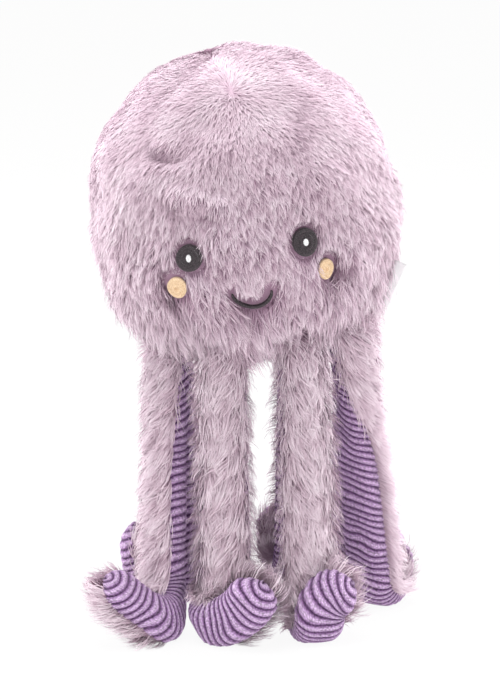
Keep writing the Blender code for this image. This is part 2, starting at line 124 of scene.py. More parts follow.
def add_lamp(name, size, power, place):
    """A square soft lamp that looks at the middle of the toy."""
    lamp = bpy.data.objects.new(name, bpy.data.lights.new(name, "AREA"))
    lamp.data.size = size
    lamp.data.energy = power
    lamp.location = place
    target = Vector((0.0, 0.0, cad_box[1].z / 2.0))
    lamp.rotation_euler = (target - Vector(place)).to_track_quat("-Z", "Y").to_euler()
    bpy.context.scene.collection.objects.link(lamp)


def add_floor():
    """A square sheet of white paper at height zero. What it sends out is its own glow and what falls on it,
    in shares that differ between the camera and the toy."""
    half = FLOOR_SIZE / 2.0
    mesh = bpy.data.meshes.new("floor")
    corners = [(-half, -half, 0.0), (half, -half, 0.0), (half, half, 0.0), (-half, half, 0.0)]
    mesh.from_pydata(corners, [], [(0, 1, 2, 3)])
    floor = bpy.data.objects.new("floor", mesh)
    bpy.context.scene.collection.objects.link(floor)
    material = bpy.data.materials.new("white_paper_sheet")
    material.use_nodes = True
    tree = material.node_tree
    tree.nodes.clear()
    rays = add_node(tree, "ShaderNodeLightPath")
    paper = add_node(tree, "ShaderNodeBsdfDiffuse", {"Color": to_linear("#F4F3F2")})
    white = add_node(tree, "ShaderNodeEmission", {"Color": to_linear("#FFFFFF"), "Strength": 1.0})
    seen = add_node(tree, "ShaderNodeMath", {
        0: rays.outputs["Is Camera Ray"], 1: FLOOR_GLOW - FLOOR_LIGHT, 2: FLOOR_LIGHT,
    }, operation="MULTIPLY_ADD")
    mixed = add_node(tree, "ShaderNodeMixShader", {
        0: seen.outputs[0], 1: paper.outputs[0], 2: white.outputs[0],
    })
    add_node(tree, "ShaderNodeOutputMaterial", {"Surface": mixed.outputs[0]})
    mesh.materials.append(material)


def add_tent():
    """White all round: as bright as a lit tent, and plain white where the camera sees it."""
    world = bpy.data.worlds.new("light_tent")
    world.use_nodes = True
    tree = world.node_tree
    tree.nodes.clear()
    rays = add_node(tree, "ShaderNodeLightPath")
    glow = add_node(tree, "ShaderNodeMix", {
        "Factor": rays.outputs["Is Camera Ray"], 2: TENT_LIGHT, 3: 1.0,
    }, data_type="FLOAT")
    light = add_node(tree, "ShaderNodeBackground", {
        "Color": to_linear("#FFFFFF"), "Strength": glow.outputs[0],
    })
    add_node(tree, "ShaderNodeOutputWorld", {"Surface": light.outputs[0]})
    bpy.context.scene.world = world


def add_camera(aim):
    """A long lens that looks at a point: sensor * distance / (picture's height in metres at the toy)."""
    data = bpy.data.cameras.new("camera")
    data.sensor_width = SENSOR_MM
    data.lens = SENSOR_MM * CAMERA_DISTANCE / (PHOTO_HEIGHT * METRES_PER_PIXEL)
    data.clip_end = CAMERA_SEES
    camera = bpy.data.objects.new("camera", data)
    camera.location = aim + to_camera * CAMERA_DISTANCE
    camera.rotation_euler = (-to_camera).to_track_quat("-Z", "Y").to_euler()
    bpy.context.scene.collection.objects.link(camera)
    bpy.context.scene.camera = camera


pivots = {joint["child"]: np.array(joint["pos_m"]) for joint in frame["joints"]}
bpy.context.scene.view_settings.view_transform = "Standard"
add_floor()
add_tent()
add_lamp("top_lamp", TOP_LAMP_SIZE, TOP_LAMP_POWER, TOP_LAMP_PLACE)
add_lamp("front_lamp", FRONT_LAMP_SIZE, FRONT_LAMP_POWER, FRONT_LAMP_PLACE)
for place in SIDE_LAMP_PLACES:
    add_lamp("side_lamp", SIDE_LAMP_SIZE, SIDE_LAMP_POWER, place)


# Head panels
# Four gores of long-pile faux fur, sewn together at seams that run from a crown point above the face to the
# base. The pile is combed away from the crown and towards the chin, and its locks cling together at their
# tips.

HEAD_RADIUS = 0.0795
HEAD_DROP = 0.0815  # from the head's centre straight down to its cloth
HEAD_FULLNESS = 2.45  # of the lower half, which would be an ellipse with 2 and is squarer with more
HEAD_CENTRE_HEIGHT = 0.235
HEAD_ROLL_DEG = 8.0
CROWN_ELEVATION_DEG = 53.0
PANEL_EDGES_DEG = (-58.0, 58.0, 148.0, 208.0)  # round the crown axis, from the face side
PANEL_NAMES = ("front", "right", "back", "left")
PANEL_THICKNESS = 0.003
CROWN_HOLE_RADIUS = 0.0006
BASE_RIM_RADIUS = 0.0535
SEAM_DIP = 0.0012
SEAM_SHARES = (0.05, 0.10, 0.20, 0.35)  # how much each seam shows through the pile
SEAM_WIDTH = 0.0032
PARTED_WIDTH = 0.009  # how far from a seam the pile leans away from it
STUFFING_LUMP = 0.0011  # how far the stuffing pushes the cloth in and out
STUFFING_LUMP_SPACING = 0.034
STUFFING_LUMP_INSET = 0.6  # how far in the lumps' middle height lies, as a share of a lump
STUFFING_LUMP_SEED = 11
WAVES_IN_FIELD = 28
WAVE_NUMBER_RANGE = (0.7, 1.4)  # as shares of the wave number of the field's own spacing
NORMAL_STEP = 0.012  # between the two directions that a slope is measured over
SHORTEST_VECTOR = 1e-9  # so that a vector without length isn't divided by zero
POLE_OFFSET = 1e-6  # so that there is an east at the poles
WELD_DECIMALS = 7  # of a metre, in which points that are the same agree
PANEL_ROWS = 46
PANEL_COLUMNS = 40
STRANDS_ON_HEAD = 188000
STRAND_SHIFT = 0.45  # of the spacing between roots, by which each is moved
PILE_RISE = 0.0050
PILE_REACH = 0.0072
PILE_WIDTH = 0.00040
PILE_FLOOR_GAP = 0.0002  # between the floor and the pile that lies on it
# How the strands differ from one another, as shares, and how far each strays from the nap and turns on its
# axis
RISE_RANGE = (0.72, 1.10)
REACH_RANGE = (0.70, 1.15)
WIDTH_RANGE = (0.7, 1.25)
STRAY = 0.27
RIBBON_TURN = 0.30
# A strand's ribbon: the powers of its curve, its pairs of points as shares of its length and width, the
# triangles between them and its tip, and for each point its side and how far up the colours of the pile it is
RISE_POWER = 1.8
REACH_POWER = 1.3
RIBBON_PAIRS = ((0.0, 0.8), (0.38, 1.0), (0.72, 0.72))
RIBBON_TRIANGLES = ((0, 1, 3), (0, 3, 2), (2, 3, 5), (2, 5, 4), (4, 5, 6))
RIBBON_SIDES = (-1, 1, -1, 1, -1, 1, 0)
RIBBON_SHADES = (0.03, 0.03, 0.38, 0.38, 0.72, 0.72, 0.98)
SIDE_TONE = 0.012  # between a ribbon's sides and its middle
TONE_LIMITS = (0.03, 0.97)
LOCK_SPACING = 0.0037  # between the locks that the tips gather into
BROAD_LOCK_SPACING = 0.0065  # of the locks of the longer pile below
LOCK_PULL_SHARE = 0.25  # of the spacing, that tips move to gather into a lock
LOCK_GRAIN = (1.0, 1.0, 0.55)  # locks are longer up and down than across
# Painted shade: strands in the gaps between locks are darker, and those on a lock's crest paler, by this share
LOCK_GAP_SHADE = 0.15
LOCK_RISE = 0.30
LOCK_SEED = 13
# The pile's tone from dark to pale: its middle, and what strands, clumps of them and broad patches differ by
HEAD_TONE = 0.60
STRAND_TONE = 0.08
CLUMP_SPACING = 0.0055
CLUMP_TONE = 0.15
CLUMP_SEED = 17
PATCH_SPACING = 0.021
PATCH_TONE = 0.08
PATCH_SEED = 14
ROOT_SEED = 21
TONE_SEED = 22
PANEL_SEED = 30
SMOOTH_SHARE = 0.7  # how much a strand is lit as the cloth below it is
# Painted shade in dents and painted light on folds: how much the pile's tone falls over dents and rises over
# folds
MARK_SHADE_AND_LIGHT = 130.0  # for each metre of a dent's or fold's depth
SEEN_SHARE = 0.6  # how far along it a lying strand is seen best
SWIRL_SPACING = 0.042
SWIRL_TURN = 0.20
SWIRL_SEED = 12
# The pile's rise and reach, as shares, from the lowest to the highest place on the head
RISE_BY_HEIGHT = ((-0.78, -0.6, -0.4, 0.2, 0.8), (2.7, 1.75, 1.25, 0.85, 0.60))
REACH_BY_HEIGHT = ((-0.75, -0.35, 0.2, 0.8), (1.9, 1.35, 1.0, 0.8))
# How much it gathers into small locks and into broad ones, and how much it falls straight down
FINE_GATHER_BY_HEIGHT = ((-0.6, -0.2, 0.3, 0.7), (0.6, 1.0, 0.5, 0.15))
BROAD_GATHER_BY_HEIGHT = ((-0.65, -0.3, 0.3), (1.25, 0.35, 0.0))
FALL_BY_HEIGHT = ((0.0, 0.5, 0.9), (0.4, 0.6, 0.0))
# How far the stuffing swells the cloth beyond its CAD form
SWELL_BY_HEIGHT = ((-0.78, -0.6, -0.3, 0.0, 0.3, 0.8), (0.0, 0.0022, 0.0018, 0.0006, 0.0010, 0.0026))
# By how near a direction is to the middle of the face, as a cosine: how far up the colours of the pile its
# strands start, and how much their tones spread. Starting further up is painted light: the pile is painted
# paler away from the face, and darkest at the middle of the face, as painted shade.
FACE_MIDDLE_DEG = (8.0, -26.0)
LIT_BASE_BY_NEARNESS = ((-0.5, 0.0, 0.25, 0.6, 0.9), (0.28, 0.46, 0.46, 0.34, 0.0))
TONE_SPREAD_BY_NEARNESS = ((-0.5, 0.0, 0.2, 0.5, 0.85), (0.8, 0.35, 0.2, 0.45, 1.3))
BACKING_SHADE = 0.20  # how far up the colours of the pile its backing is
BACKING_TONE = 0.5
BACKING_SPREAD = 0.02
SEAM_FLATNESS = 0.35  # how much lower the pile is on a seam, as a share
# The parting is a line at the crown that the pile is combed away from
PARTING = ((199, 52), (232, 95))  # its ends, as (column, row) in the photograph
PARTING_BEYOND = 0.3  # how far it runs on over the top of the head, straight away from the camera
PARTING_RADIUS = 0.14
PARTING_FLATNESS = 0.35  # how much lower the pile is there
# Painted light: strands at the parting start further up the colours, so that the shade in its hollow shows less
PARTED_LIGHT_BASE = 0.12  # how much further up the colours of the pile its strands start there
NAP_START_REACH = 0.10  # from the parting to where the pile is combed in full
NAP_START_SHARE = 0.1  # how much it is combed at the parting itself
# The place under the face that the pile is drawn in towards
CHIN_AZIMUTH_DEG = 19.0
CHIN_ELEVATION_DEG = -61.0
CHIN_PULL = 1.9
CHIN_START = -0.25  # how near the chin, as a cosine, the pull starts
CHIN_SPAN = 0.9  # from there to where it is full
CHIN_EASE = 3.0  # how soon, from the chin itself, the pull is full again
# Dents in the stuffing, as (column, row) in the photograph, the radius and the depth. The pile over each is
#  also painted darker, as painted shade in the dent.
DENTS = (
    ((156, 160), 0.0048, 0.0022),
    ((167, 162), 0.0048, 0.0026),
    ((179, 165), 0.0048, 0.0018),
    ((298, 124), 0.0075, 0.0012),
    ((208, 131), 0.0055, 0.0010),
    ((190, 222), 0.0085, 0.0018),
    ((172, 211), 0.0050, 0.0016),
    ((204, 218), 0.0055, 0.0018),
    ((206, 62), 0.0026, 0.0014),
    ((212, 70), 0.0026, 0.0018),
    ((218, 78), 0.0026, 0.0018),
    ((224, 87), 0.0026, 0.0018),
    ((233, 97), 0.0046, 0.0018),
    ((169, 296), 0.0046, 0.0048),
    ((335, 277), 0.0044, 0.0044),
    ((240, 312), 0.0060, 0.0024),
    ((208, 302), 0.0034, 0.0020),
)
# Soft folds that stand out, in the same way. The pile over each is also painted paler, as painted light on the
#  fold.
FOLDS = (
    ((165, 152), 0.0055, 0.0014),
    ((182, 203), 0.0052, 0.0032),
    ((200, 206), 0.0046, 0.0030),
    ((218, 211), 0.0046, 0.0032),
    ((222, 66), 0.0055, 0.0009),
    ((238, 82), 0.0065, 0.0012),
    ((254, 86), 0.0100, 0.0014),
    ((292, 112), 0.0052, 0.0014),
)


def direction(azimuth_deg, elevation_deg):
    """The unit vector at an azimuth turned from the front, positive towards +X, and an elevation."""
    azimuth, elevation = math.radians(azimuth_deg), math.radians(elevation_deg)
    level = math.cos(elevation)
    return np.array((level * math.sin(azimuth), -level * math.cos(azimuth), math.sin(elevation)))


def unit(vectors):
    """Vectors, each divided by its length."""
    return vectors / np.maximum(np.linalg.norm(vectors, axis=-1, keepdims=True), SHORTEST_VECTOR)


def dots(first, second):
    """The dot product of each pair of vectors, kept as a column."""
    return np.sum(first * second, axis=-1, keepdims=True)


def head_reach(towards):
    """The distance from the head's centre to its cloth. Above, it is a ball's radius R. Below, with fullness
    F and drop D, it is ((across / R)^F + (down / D)^F)^(-1 / F)."""
    across = np.hypot(towards[..., 0], towards[..., 1]) / HEAD_RADIUS
    down = np.maximum(-towards[..., 2], 0.0) / HEAD_DROP
    fuller = (across**HEAD_FULLNESS + down**HEAD_FULLNESS) ** (-1.0 / HEAD_FULLNESS)
    return np.where(towards[..., 2] >= 0.0, HEAD_RADIUS, fuller)


def waves(points, spacing, seed):
    """A smooth random field and its slope: a sum of cosines of random directions whose wavelengths lie round
    the spacing, scaled to about -1 to 1. The slope is per radian of phase."""
    chance = np.random.default_rng(seed)
    heading = unit(chance.normal(size=(WAVES_IN_FIELD, 3)))
    spread = chance.uniform(*WAVE_NUMBER_RANGE, (WAVES_IN_FIELD, 1))
    numbers = heading * (2.0 * math.pi / spacing * spread)
    start = chance.uniform(0.0, 2.0 * math.pi, WAVES_IN_FIELD)
    phase = points @ numbers.T + start
    scale = math.sqrt(2.0 / WAVES_IN_FIELD)
    return np.cos(phase).sum(-1) * scale, -(np.sin(phase) @ heading) * scale


def seen_on_head(column, row):
    """The direction, in the head's axes, of what shows at a pixel of the photograph: where a ball as large as
    the head with its pile stands nearest to the camera, sqrt(radius^2 - right^2 - up^2) before its centre."""
    right = (column - HEAD_COLUMN) * METRES_PER_PIXEL
    up = (HEAD_ROW - row) * METRES_PER_PIXEL
    reach = HEAD_RADIUS + PILE_RISE
    near = math.sqrt(max(reach**2 - right**2 - up**2, 0.0))
    place = np.array((right, 0.0, 0.0)) + np.array(camera_up) * up + np.array(to_camera) * near
    return unit(place @ head_turn)


def seam_angle(towards):
    """The angle round the crown axis, in degrees from the first seam, and the angle from the crown."""
    turned = np.degrees(np.arctan2(towards[..., 0], dots(towards, faceward)[..., 0]))
    polar = np.arccos(np.clip(dots(towards, crown)[..., 0], -1.0, 1.0))
    return (turned - PANEL_EDGES_DEG[0]) % 360.0, polar


def seam_nearness(towards):
    """How near the seams between panels are, each by its own share, as exp(-(distance / width)^2), and the
    way off the nearest one."""
    turned, polar = seam_angle(towards)
    near = np.zeros(towards.shape[:-1])
    off = np.zeros(towards.shape[:-1])
    for edge, share in zip(PANEL_EDGES_DEG, SEAM_SHARES):
        gap = (turned - (edge - PANEL_EDGES_DEG[0]) + 180.0) % 360.0 - 180.0
        away = HEAD_RADIUS * np.radians(gap) * np.sin(polar)
        near += share * np.exp(-((away / SEAM_WIDTH) ** 2))
        off += share * np.exp(-((away / PARTED_WIDTH) ** 2)) * np.tanh(away / SEAM_WIDTH)
    return near, off[..., None] * unit(np.cross(crown, towards))


def marks(towards):
    """How far dents and folds move the cloth out, each by depth * exp(-(distance / radius)^2)."""
    moved = np.zeros(towards.shape[:-1])
    for group, sign in ((DENTS, -1.0), (FOLDS, 1.0)):
        for (column, row), radius, depth in group:
            away = HEAD_RADIUS * np.linalg.norm(towards - seen_on_head(column, row), axis=-1)
            moved += sign * depth * np.exp(-((away / radius) ** 2))
    return moved


def cloth(towards):
    """Points on the head's cloth, in its own axes: the CAD form, with lumps and a swell from the stuffing, a
    dip at the seams, and dents and folds."""
    lumps, _ = waves(towards * HEAD_RADIUS, STUFFING_LUMP_SPACING, STUFFING_LUMP_SEED)
    lump = STUFFING_LUMP * (lumps - STUFFING_LUMP_INSET)
    reach = head_reach(towards) + lump + np.interp(towards[..., 2], *SWELL_BY_HEIGHT)
    near, _ = seam_nearness(towards)
    reach = reach - SEAM_DIP * near
    return towards * (reach + marks(towards))[..., None]


def cloth_normals(towards):
    """Outward normals of the cloth: the cross product of a short step along it to the east and one to the
    north."""
    east = unit(np.cross(np.array((0.0, 0.0, 1.0)), towards) + np.array((POLE_OFFSET, 0.0, 0.0)))
    north = np.cross(towards, east)
    along = cloth(unit(towards + east * NORMAL_STEP)) - cloth(unit(towards - east * NORMAL_STEP))
    upward = cloth(unit(towards + north * NORMAL_STEP)) - cloth(unit(towards - north * NORMAL_STEP))
    return unit(np.cross(along, upward))


def nearest_parting(towards):
    """The nearest place, as a direction, on a line between the parting's ends, the upper of which is moved on
    over the top of the head."""
    start, end = (seen_on_head(*pixel) for pixel in PARTING)
    start = unit(start - PARTING_BEYOND * np.array(to_camera) @ head_turn)
    run = end - start
    share = np.clip(dots(towards - start, run) / float(run @ run), 0.0, 1.0)
    return unit(start + share * run)


def head_nap(towards, normals):
    """The way the pile is combed: a sum of the way off the parting, the way in to the chin, the way down, a
    slow random swirl and the way off the seams, laid along the cloth."""
    start = nearest_parting(towards)
    away = dots(towards, start) * towards - start
    gone = np.linalg.norm(away, axis=-1, keepdims=True) / NAP_START_REACH
    away = unit(away) * np.clip(gone, NAP_START_SHARE, 1.0)
    chin = direction(CHIN_AZIMUTH_DEG, CHIN_ELEVATION_DEG)
    nearness = dots(towards, chin)
    inward = chin - nearness * towards
    drawn = np.clip((nearness - CHIN_START) / CHIN_SPAN, 0.0, 1.0) ** 2
    eased_in = np.clip(np.linalg.norm(inward, axis=-1, keepdims=True) * CHIN_EASE, 0.0, 1.0)
    _, swirl = waves(towards * HEAD_RADIUS, SWIRL_SPACING, SWIRL_SEED)
    nap = away + CHIN_PULL * drawn * unit(inward) * eased_in
    _, off_seam = seam_nearness(towards)
    fall = unit(towards * towards[..., 2:] - np.array((0.0, 0.0, 1.0)))
    nap = nap + fall * np.interp(towards[..., 2:], *FALL_BY_HEIGHT)
    nap = nap + SWIRL_TURN * swirl + off_seam
    return unit(nap - dots(nap, normals) * normals)


def on_floor(points):
    """Lays what would go through the floor on it."""
    points[..., 2] = np.maximum(points[..., 2], PILE_FLOOR_GAP)
    return points


def pile(roots, normals, nap, rise, reach, width, tone, base, seed, locks):
    """Fur: one tapering ribbon of five triangles for each root. A ribbon's middle line, at a share t of its
    length, is root + normal * rise * (1 - (1 - t)^1.8) + nap * reach * t^1.3 + a pull into its lock * t^2.
    Locks are pairs of their spacing and how much they hold each root's strand, as a share. The normals that a
    ribbon is lit by are a mixture of the cloth's and its own."""
    chance = np.random.default_rng(seed)
    count = len(roots)
    rise = (rise * chance.uniform(*RISE_RANGE, count))[:, None]
    reach = (reach * chance.uniform(*REACH_RANGE, count))[:, None]
    stray = chance.normal(size=(count, 3)) * STRAY
    nap = unit(nap + stray - dots(stray, normals) * normals)
    pull = np.zeros((count, 3))
    for spacing, held in locks:
        crest, slope = waves((roots + nap * reach) * LOCK_GRAIN, spacing, LOCK_SEED)
        # Painted shade in the gaps between locks and painted light on their crests
        tone = tone + LOCK_GAP_SHADE * held * crest
        rise = rise * (1.0 + LOCK_RISE * held * np.clip(crest, -1.0, 1.0))[:, None]
        slope = slope * LOCK_GRAIN
        slope = slope - dots(slope, normals) * normals
        far = np.minimum(1.0, reach[:, 0] / PILE_REACH)
        pull += slope * (LOCK_PULL_SHARE * spacing * held * far)[:, None]
    turn = chance.normal(size=(count, 1)) * RIBBON_TURN
    side = np.cross(nap, normals)
    side = unit(side * np.cos(turn) + normals * np.sin(turn))
    half = width * chance.uniform(*WIDTH_RANGE, (count, 1)) / 2.0
    rows = []
    for t, taper in RIBBON_PAIRS:
        risen = normals * rise * (1.0 - (1.0 - t) ** RISE_POWER)
        middle = roots + risen + nap * reach * t**REACH_POWER + pull * t**2
        rows += [middle - side * half * taper, middle + side * half * taper]
    rows.append(roots + normals * rise + nap * reach + pull)
    points = np.stack(rows, axis=1)
    per_ribbon = len(rows)
    faced = unit(np.cross(side, nap * reach + normals * rise))
    faced = faced * np.sign(dots(faced, normals))
    lit = np.repeat(unit(normals * SMOOTH_SHARE + faced * (1.0 - SMOOTH_SHARE)), per_ribbon, axis=0)
    triangles = (np.arange(count)[:, None, None] * per_ribbon + np.array(RIBBON_TRIANGLES)).reshape(-1, 3)
    tones = np.empty((count, per_ribbon, 2))
    tones[..., 0] = np.clip(tone, *TONE_LIMITS)[:, None] + np.array(RIBBON_SIDES) * SIDE_TONE
    tones[..., 1] = base[:, None] + (1.0 - base[:, None]) * np.array(RIBBON_SHADES)
    return points.reshape(-1, 3), triangles, tones.reshape(-1, 2), lit


def welded(points, quads, chart):
    """Triangles from quads, facing outwards, with coinciding points made one, so that seams and poles are
    closed. They are turned over if the volume inside them comes out below zero."""
    rounded = np.round(points, WELD_DECIMALS)
    _, kept, merged = np.unique(rounded, axis=0, return_index=True, return_inverse=True)
    quads = merged.reshape(-1)[quads]
    points = points[kept]
    triangles = np.concatenate((quads[:, [0, 1, 2]], quads[:, [0, 2, 3]]))
    whole = (triangles[:, 0] != triangles[:, 1]) & (triangles[:, 1] != triangles[:, 2])
    triangles = triangles[whole & (triangles[:, 2] != triangles[:, 0])]
    first, second, third = (points[triangles[:, k]] - points.mean(axis=0) for k in range(3))
    if np.sum(first * np.cross(second, third)) < 0.0:
        triangles = triangles[:, ::-1]
    return points, triangles, chart[kept]


def shell(outer, inner, chart):
    """A closed skin between two grids of points: both faces and the strip round their edges."""
    rows, columns = outer.shape[:2]
    ring = np.concatenate((outer, inner[:, ::-1]), axis=1)
    ring_chart = np.concatenate((chart, chart[:, ::-1]), axis=1)
    wide = 2 * columns
    i, j = np.meshgrid(np.arange(rows - 1), np.arange(wide), indexing="ij")
    corner = i * wide + j
    beside = i * wide + (j + 1) % wide
    quads = np.stack((corner, beside, beside + wide, corner + wide), axis=-1).reshape(-1, 4)
    j = np.arange(columns - 1)
    first = np.stack((j + 1, j, wide - 1 - j, wide - 2 - j), axis=-1)
    last = first[:, ::-1] + (rows - 1) * wide
    quads = np.concatenate((quads, first, last))
    return welded(ring.reshape(-1, 3), quads, ring_chart.reshape(-1, 2))


def backing(outer, inner, tone, shade):
    """The fur's woven backing: a shell that takes the colour of the pile near its roots."""
    rows, columns = outer.shape[:2]
    u = np.linspace(tone - BACKING_SPREAD, tone + BACKING_SPREAD, columns) + np.zeros((rows, 1))
    v = shade + np.linspace(0.0, BACKING_SPREAD, rows)[:, None] + np.zeros(columns)
    return shell(outer, inner, np.stack((u, v), axis=-1))


def new_piece(name, material, *parts):
    """One smooth mesh object from parts, each a tuple of points, triangles and places on the colour map.
    Strands bring the normals they are lit by as a fourth item."""
    starts = np.cumsum([0] + [len(part[0]) for part in parts[:-1]])
    points = np.concatenate([part[0] for part in parts]).astype(np.float32)
    triangles = np.concatenate([part[1] + start for part, start in zip(parts, starts)]).astype(np.int32)
    tones = np.concatenate([part[2] for part in parts]).astype(np.float32)
    mesh = bpy.data.meshes.new(name)
    mesh.vertices.add(len(points))
    mesh.vertices.foreach_set("co", points.ravel())
    mesh.loops.add(triangles.size)
    mesh.loops.foreach_set("vertex_index", triangles.ravel())
    mesh.polygons.add(len(triangles))
    mesh.polygons.foreach_set("loop_start", np.arange(0, triangles.size, 3, dtype=np.int32))
    mesh.polygons.foreach_set("use_smooth", np.ones(len(triangles), bool))
    chart = mesh.uv_layers.new(name="OFBake")
    chart.uv.foreach_set("vector", tones[triangles.ravel()].ravel())
    mesh.update(calc_edges=True)
    lit = np.empty(points.shape, np.float32)
    mesh.vertex_normals.foreach_get("vector", lit.reshape(-1))
    for start, part in zip(starts, parts):
        if len(part) == 4:
            lit[start : start + len(part[0])] = part[3]
    if any(len(part) == 4 for part in parts):
        mesh.normals_split_custom_set_from_vertices(lit)
    mesh.materials.append(material)
    made = bpy.data.objects.new(name, mesh)
    bpy.context.scene.collection.objects.link(made)
    return made


def new_material(name):
    """A material with a plain shader, and its node tree and shader."""
    material = bpy.data.materials.new(name)
    material.use_nodes = True
    return material, material.node_tree, material.node_tree.nodes["Principled BSDF"]


def faux_fur():
    """Dyed polyester pile: dull mauve in the shade of its roots, nearly white with a pink cast at its brushed
    tips, and a little different from strand to strand. The chart runs root to tip up, and dark to pale
    across."""
    material, tree, shader = new_material("lilac_faux_fur")
    chart = add_node(tree, "ShaderNodeUVMap", uv_map="OFBake")
    split = add_node(tree, "ShaderNodeSeparateXYZ", {0: chart.outputs[0]})
    along = add_node(tree, "ShaderNodeValToRGB", {0: split.outputs[1]}, stops=(
        (0.0, "#8A6C82"), (1.0, "#F4E9EF"), (0.35, "#BEA2B5"), (0.75, "#E3D2DC"),
    ))
    strand = add_node(tree, "ShaderNodeValToRGB", {0: split.outputs[0]}, stops=(
        (0.0, "#A58D9D"), (1.0, "#FFFFFF"), (0.5, "#EFE4EA"),
    ))
    mixed = add_node(tree, "ShaderNodeMix", {
        "Factor": 1.0, 6: along.outputs[0], 7: strand.outputs[0],
    }, data_type="RGBA", blend_type="MULTIPLY")
    set_inputs(tree, shader, {
        "Base Color": mixed.outputs[2], "Roughness": 0.62, "Specular IOR Level": 0.25,
        "Sheen Weight": 0.25, "Sheen Roughness": 0.5, "Sheen Tint": to_linear("#F7E6F4"),
    })
    return material


def spread_directions(count, seed):
    """Evenly spread directions: a spiral down the ball that turns by the golden angle, pi * (3 - sqrt(5)),
    from each point to the next, with each point then moved by a share of the spacing."""
    k = np.arange(count)
    height = 1.0 - (2.0 * k + 1.0) / count
    turned = k * math.pi * (3.0 - math.sqrt(5.0))
    level = np.sqrt(1.0 - height**2)
    even = np.stack((level * np.cos(turned), level * np.sin(turned), height), axis=-1)
    step = math.sqrt(4.0 * math.pi / count)
    return unit(even + np.random.default_rng(seed).normal(size=even.shape) * step * STRAND_SHIFT)


def from_face(towards):
    """How near directions are to the middle of the face, as a cosine."""
    return dots(towards, direction(*FACE_MIDDLE_DEG))[..., 0]


def rim_angle():
    """The angle at the head's centre between straight down and the base panel's rim: the lower form's height
    at the rim's radius gives its tangent."""
    share = BASE_RIM_RADIUS / HEAD_RADIUS
    return math.atan2(BASE_RIM_RADIUS, HEAD_DROP * (1.0 - share**HEAD_FULLNESS) ** (1.0 / HEAD_FULLNESS))


def to_world(points):
    """Points in the head's axes, turned by its roll and moved to its centre."""
    return points @ head_turn.T + head_centre


def panel_backing(low, high):
    """A gore's cloth: a grid from the crown down to the base rim, between two seams. Along a line at an angle
    round the crown axis, the rim is at p, where crown.z * cos(p) + level.z * sin(p) = -cos(rim)."""
    turned = np.radians(np.linspace(low, high, PANEL_COLUMNS))
    level = faceward * np.cos(turned)[:, None] + np.array((1.0, 0.0, 0.0)) * np.sin(turned)[:, None]
    size = np.hypot(crown[2], level[:, 2])
    end = np.arctan2(level[:, 2], crown[2]) + np.arccos(-math.cos(rim_angle()) / size)
    start = CROWN_HOLE_RADIUS / HEAD_RADIUS
    polar = start + np.linspace(0.0, 1.0, PANEL_ROWS)[:, None] * (end - start)
    towards = crown * np.cos(polar)[..., None] + level * np.sin(polar)[..., None]
    outer = cloth(towards)
    inner = outer - unit(outer) * PANEL_THICKNESS
    # Painted light, as on the strands: the backing is painted paler away from the face and darkest at its
    # middle
    shade = BACKING_SHADE + np.interp(from_face(towards), *LIT_BASE_BY_NEARNESS)
    return to_world(outer), to_world(inner), BACKING_TONE, shade


head_turn = np.array(Matrix.Rotation(math.radians(-HEAD_ROLL_DEG), 3, "Y"))
crown = direction(0.0, CROWN_ELEVATION_DEG)
faceward = direction(0.0, CROWN_ELEVATION_DEG - 90.0)
between_arms = (pivots["arm_left_front"] + pivots["arm_right_back"]) / 2.0
head_up = head_turn[:, 2]
head_centre = between_arms + head_up * (HEAD_CENTRE_HEIGHT - between_arms[2]) / head_up[2]

aim = Vector(head_centre) - camera_up * (PHOTO_HEIGHT / 2 - HEAD_ROW) * METRES_PER_PIXEL
aim.x += (PHOTO_WIDTH / 2 - HEAD_COLUMN) * METRES_PER_PIXEL
add_camera(aim)

# What is sewn on the face, where no pile grows: name, azimuth, elevation, half width and half height
FACE_YAW_DEG = 0.7  # by which all four are turned
FACE_PATCHES = (
    ("eye_left", -22.7, -10.0, 0.0073, 0.0065),
    ("eye_right", 22.0, -10.2, 0.0070, 0.0073),
    ("cheek_left", -28.9, -19.7, 0.0053, 0.0050),
    ("cheek_right", 29.8, -21.9, 0.0046, 0.0053),
)
MOUTH_AZIMUTH_DEG = -0.3
MOUTH_ELEVATION_DEG = -25.8
MOUTH_HALF_WIDTH = 0.0102
MOUTH_DROP = 0.0084
MOUTH_THREAD_RADIUS = 0.0012
BESIDE_COSINE = 0.5  # of the widest angle at which something sewn on still bears on the pile
LEAST_AHEAD = 0.001  # so that what lies to the side of a place on the face isn't divided by zero
CHEEK_COVER = 0.0018  # how far the pile lies over the inner edge of each cheek
MOUTH_CLEARANCE = 0.0008  # as the mouth is narrow, the pile is cut back further from it
SHORTEST_PILE = 0.12  # as a share of its length
TRIM_STEPS = 8
TRIM_MARGIN = 0.0026
TRIM_RISE_POWER = 0.6  # of its share, by which shorter pile is lower as well
PRESSED_RISE = 0.0014  # of the pile at the edge of the embroidery
PRESSED_SLOPE = 0.5


def on_face(towards, centre):
    """Distances to the right of and above a place on the face, on the plane that touches the cloth there, and
    that plane's two axes."""
    east = unit(np.cross(np.array((0.0, 0.0, 1.0)), centre))
    north = np.cross(centre, east)
    reach = float(head_reach(centre))
    ahead = np.maximum(dots(towards, centre)[..., 0], LEAST_AHEAD)
    return reach * (towards @ east) / ahead, reach * (towards @ north) / ahead, east, north


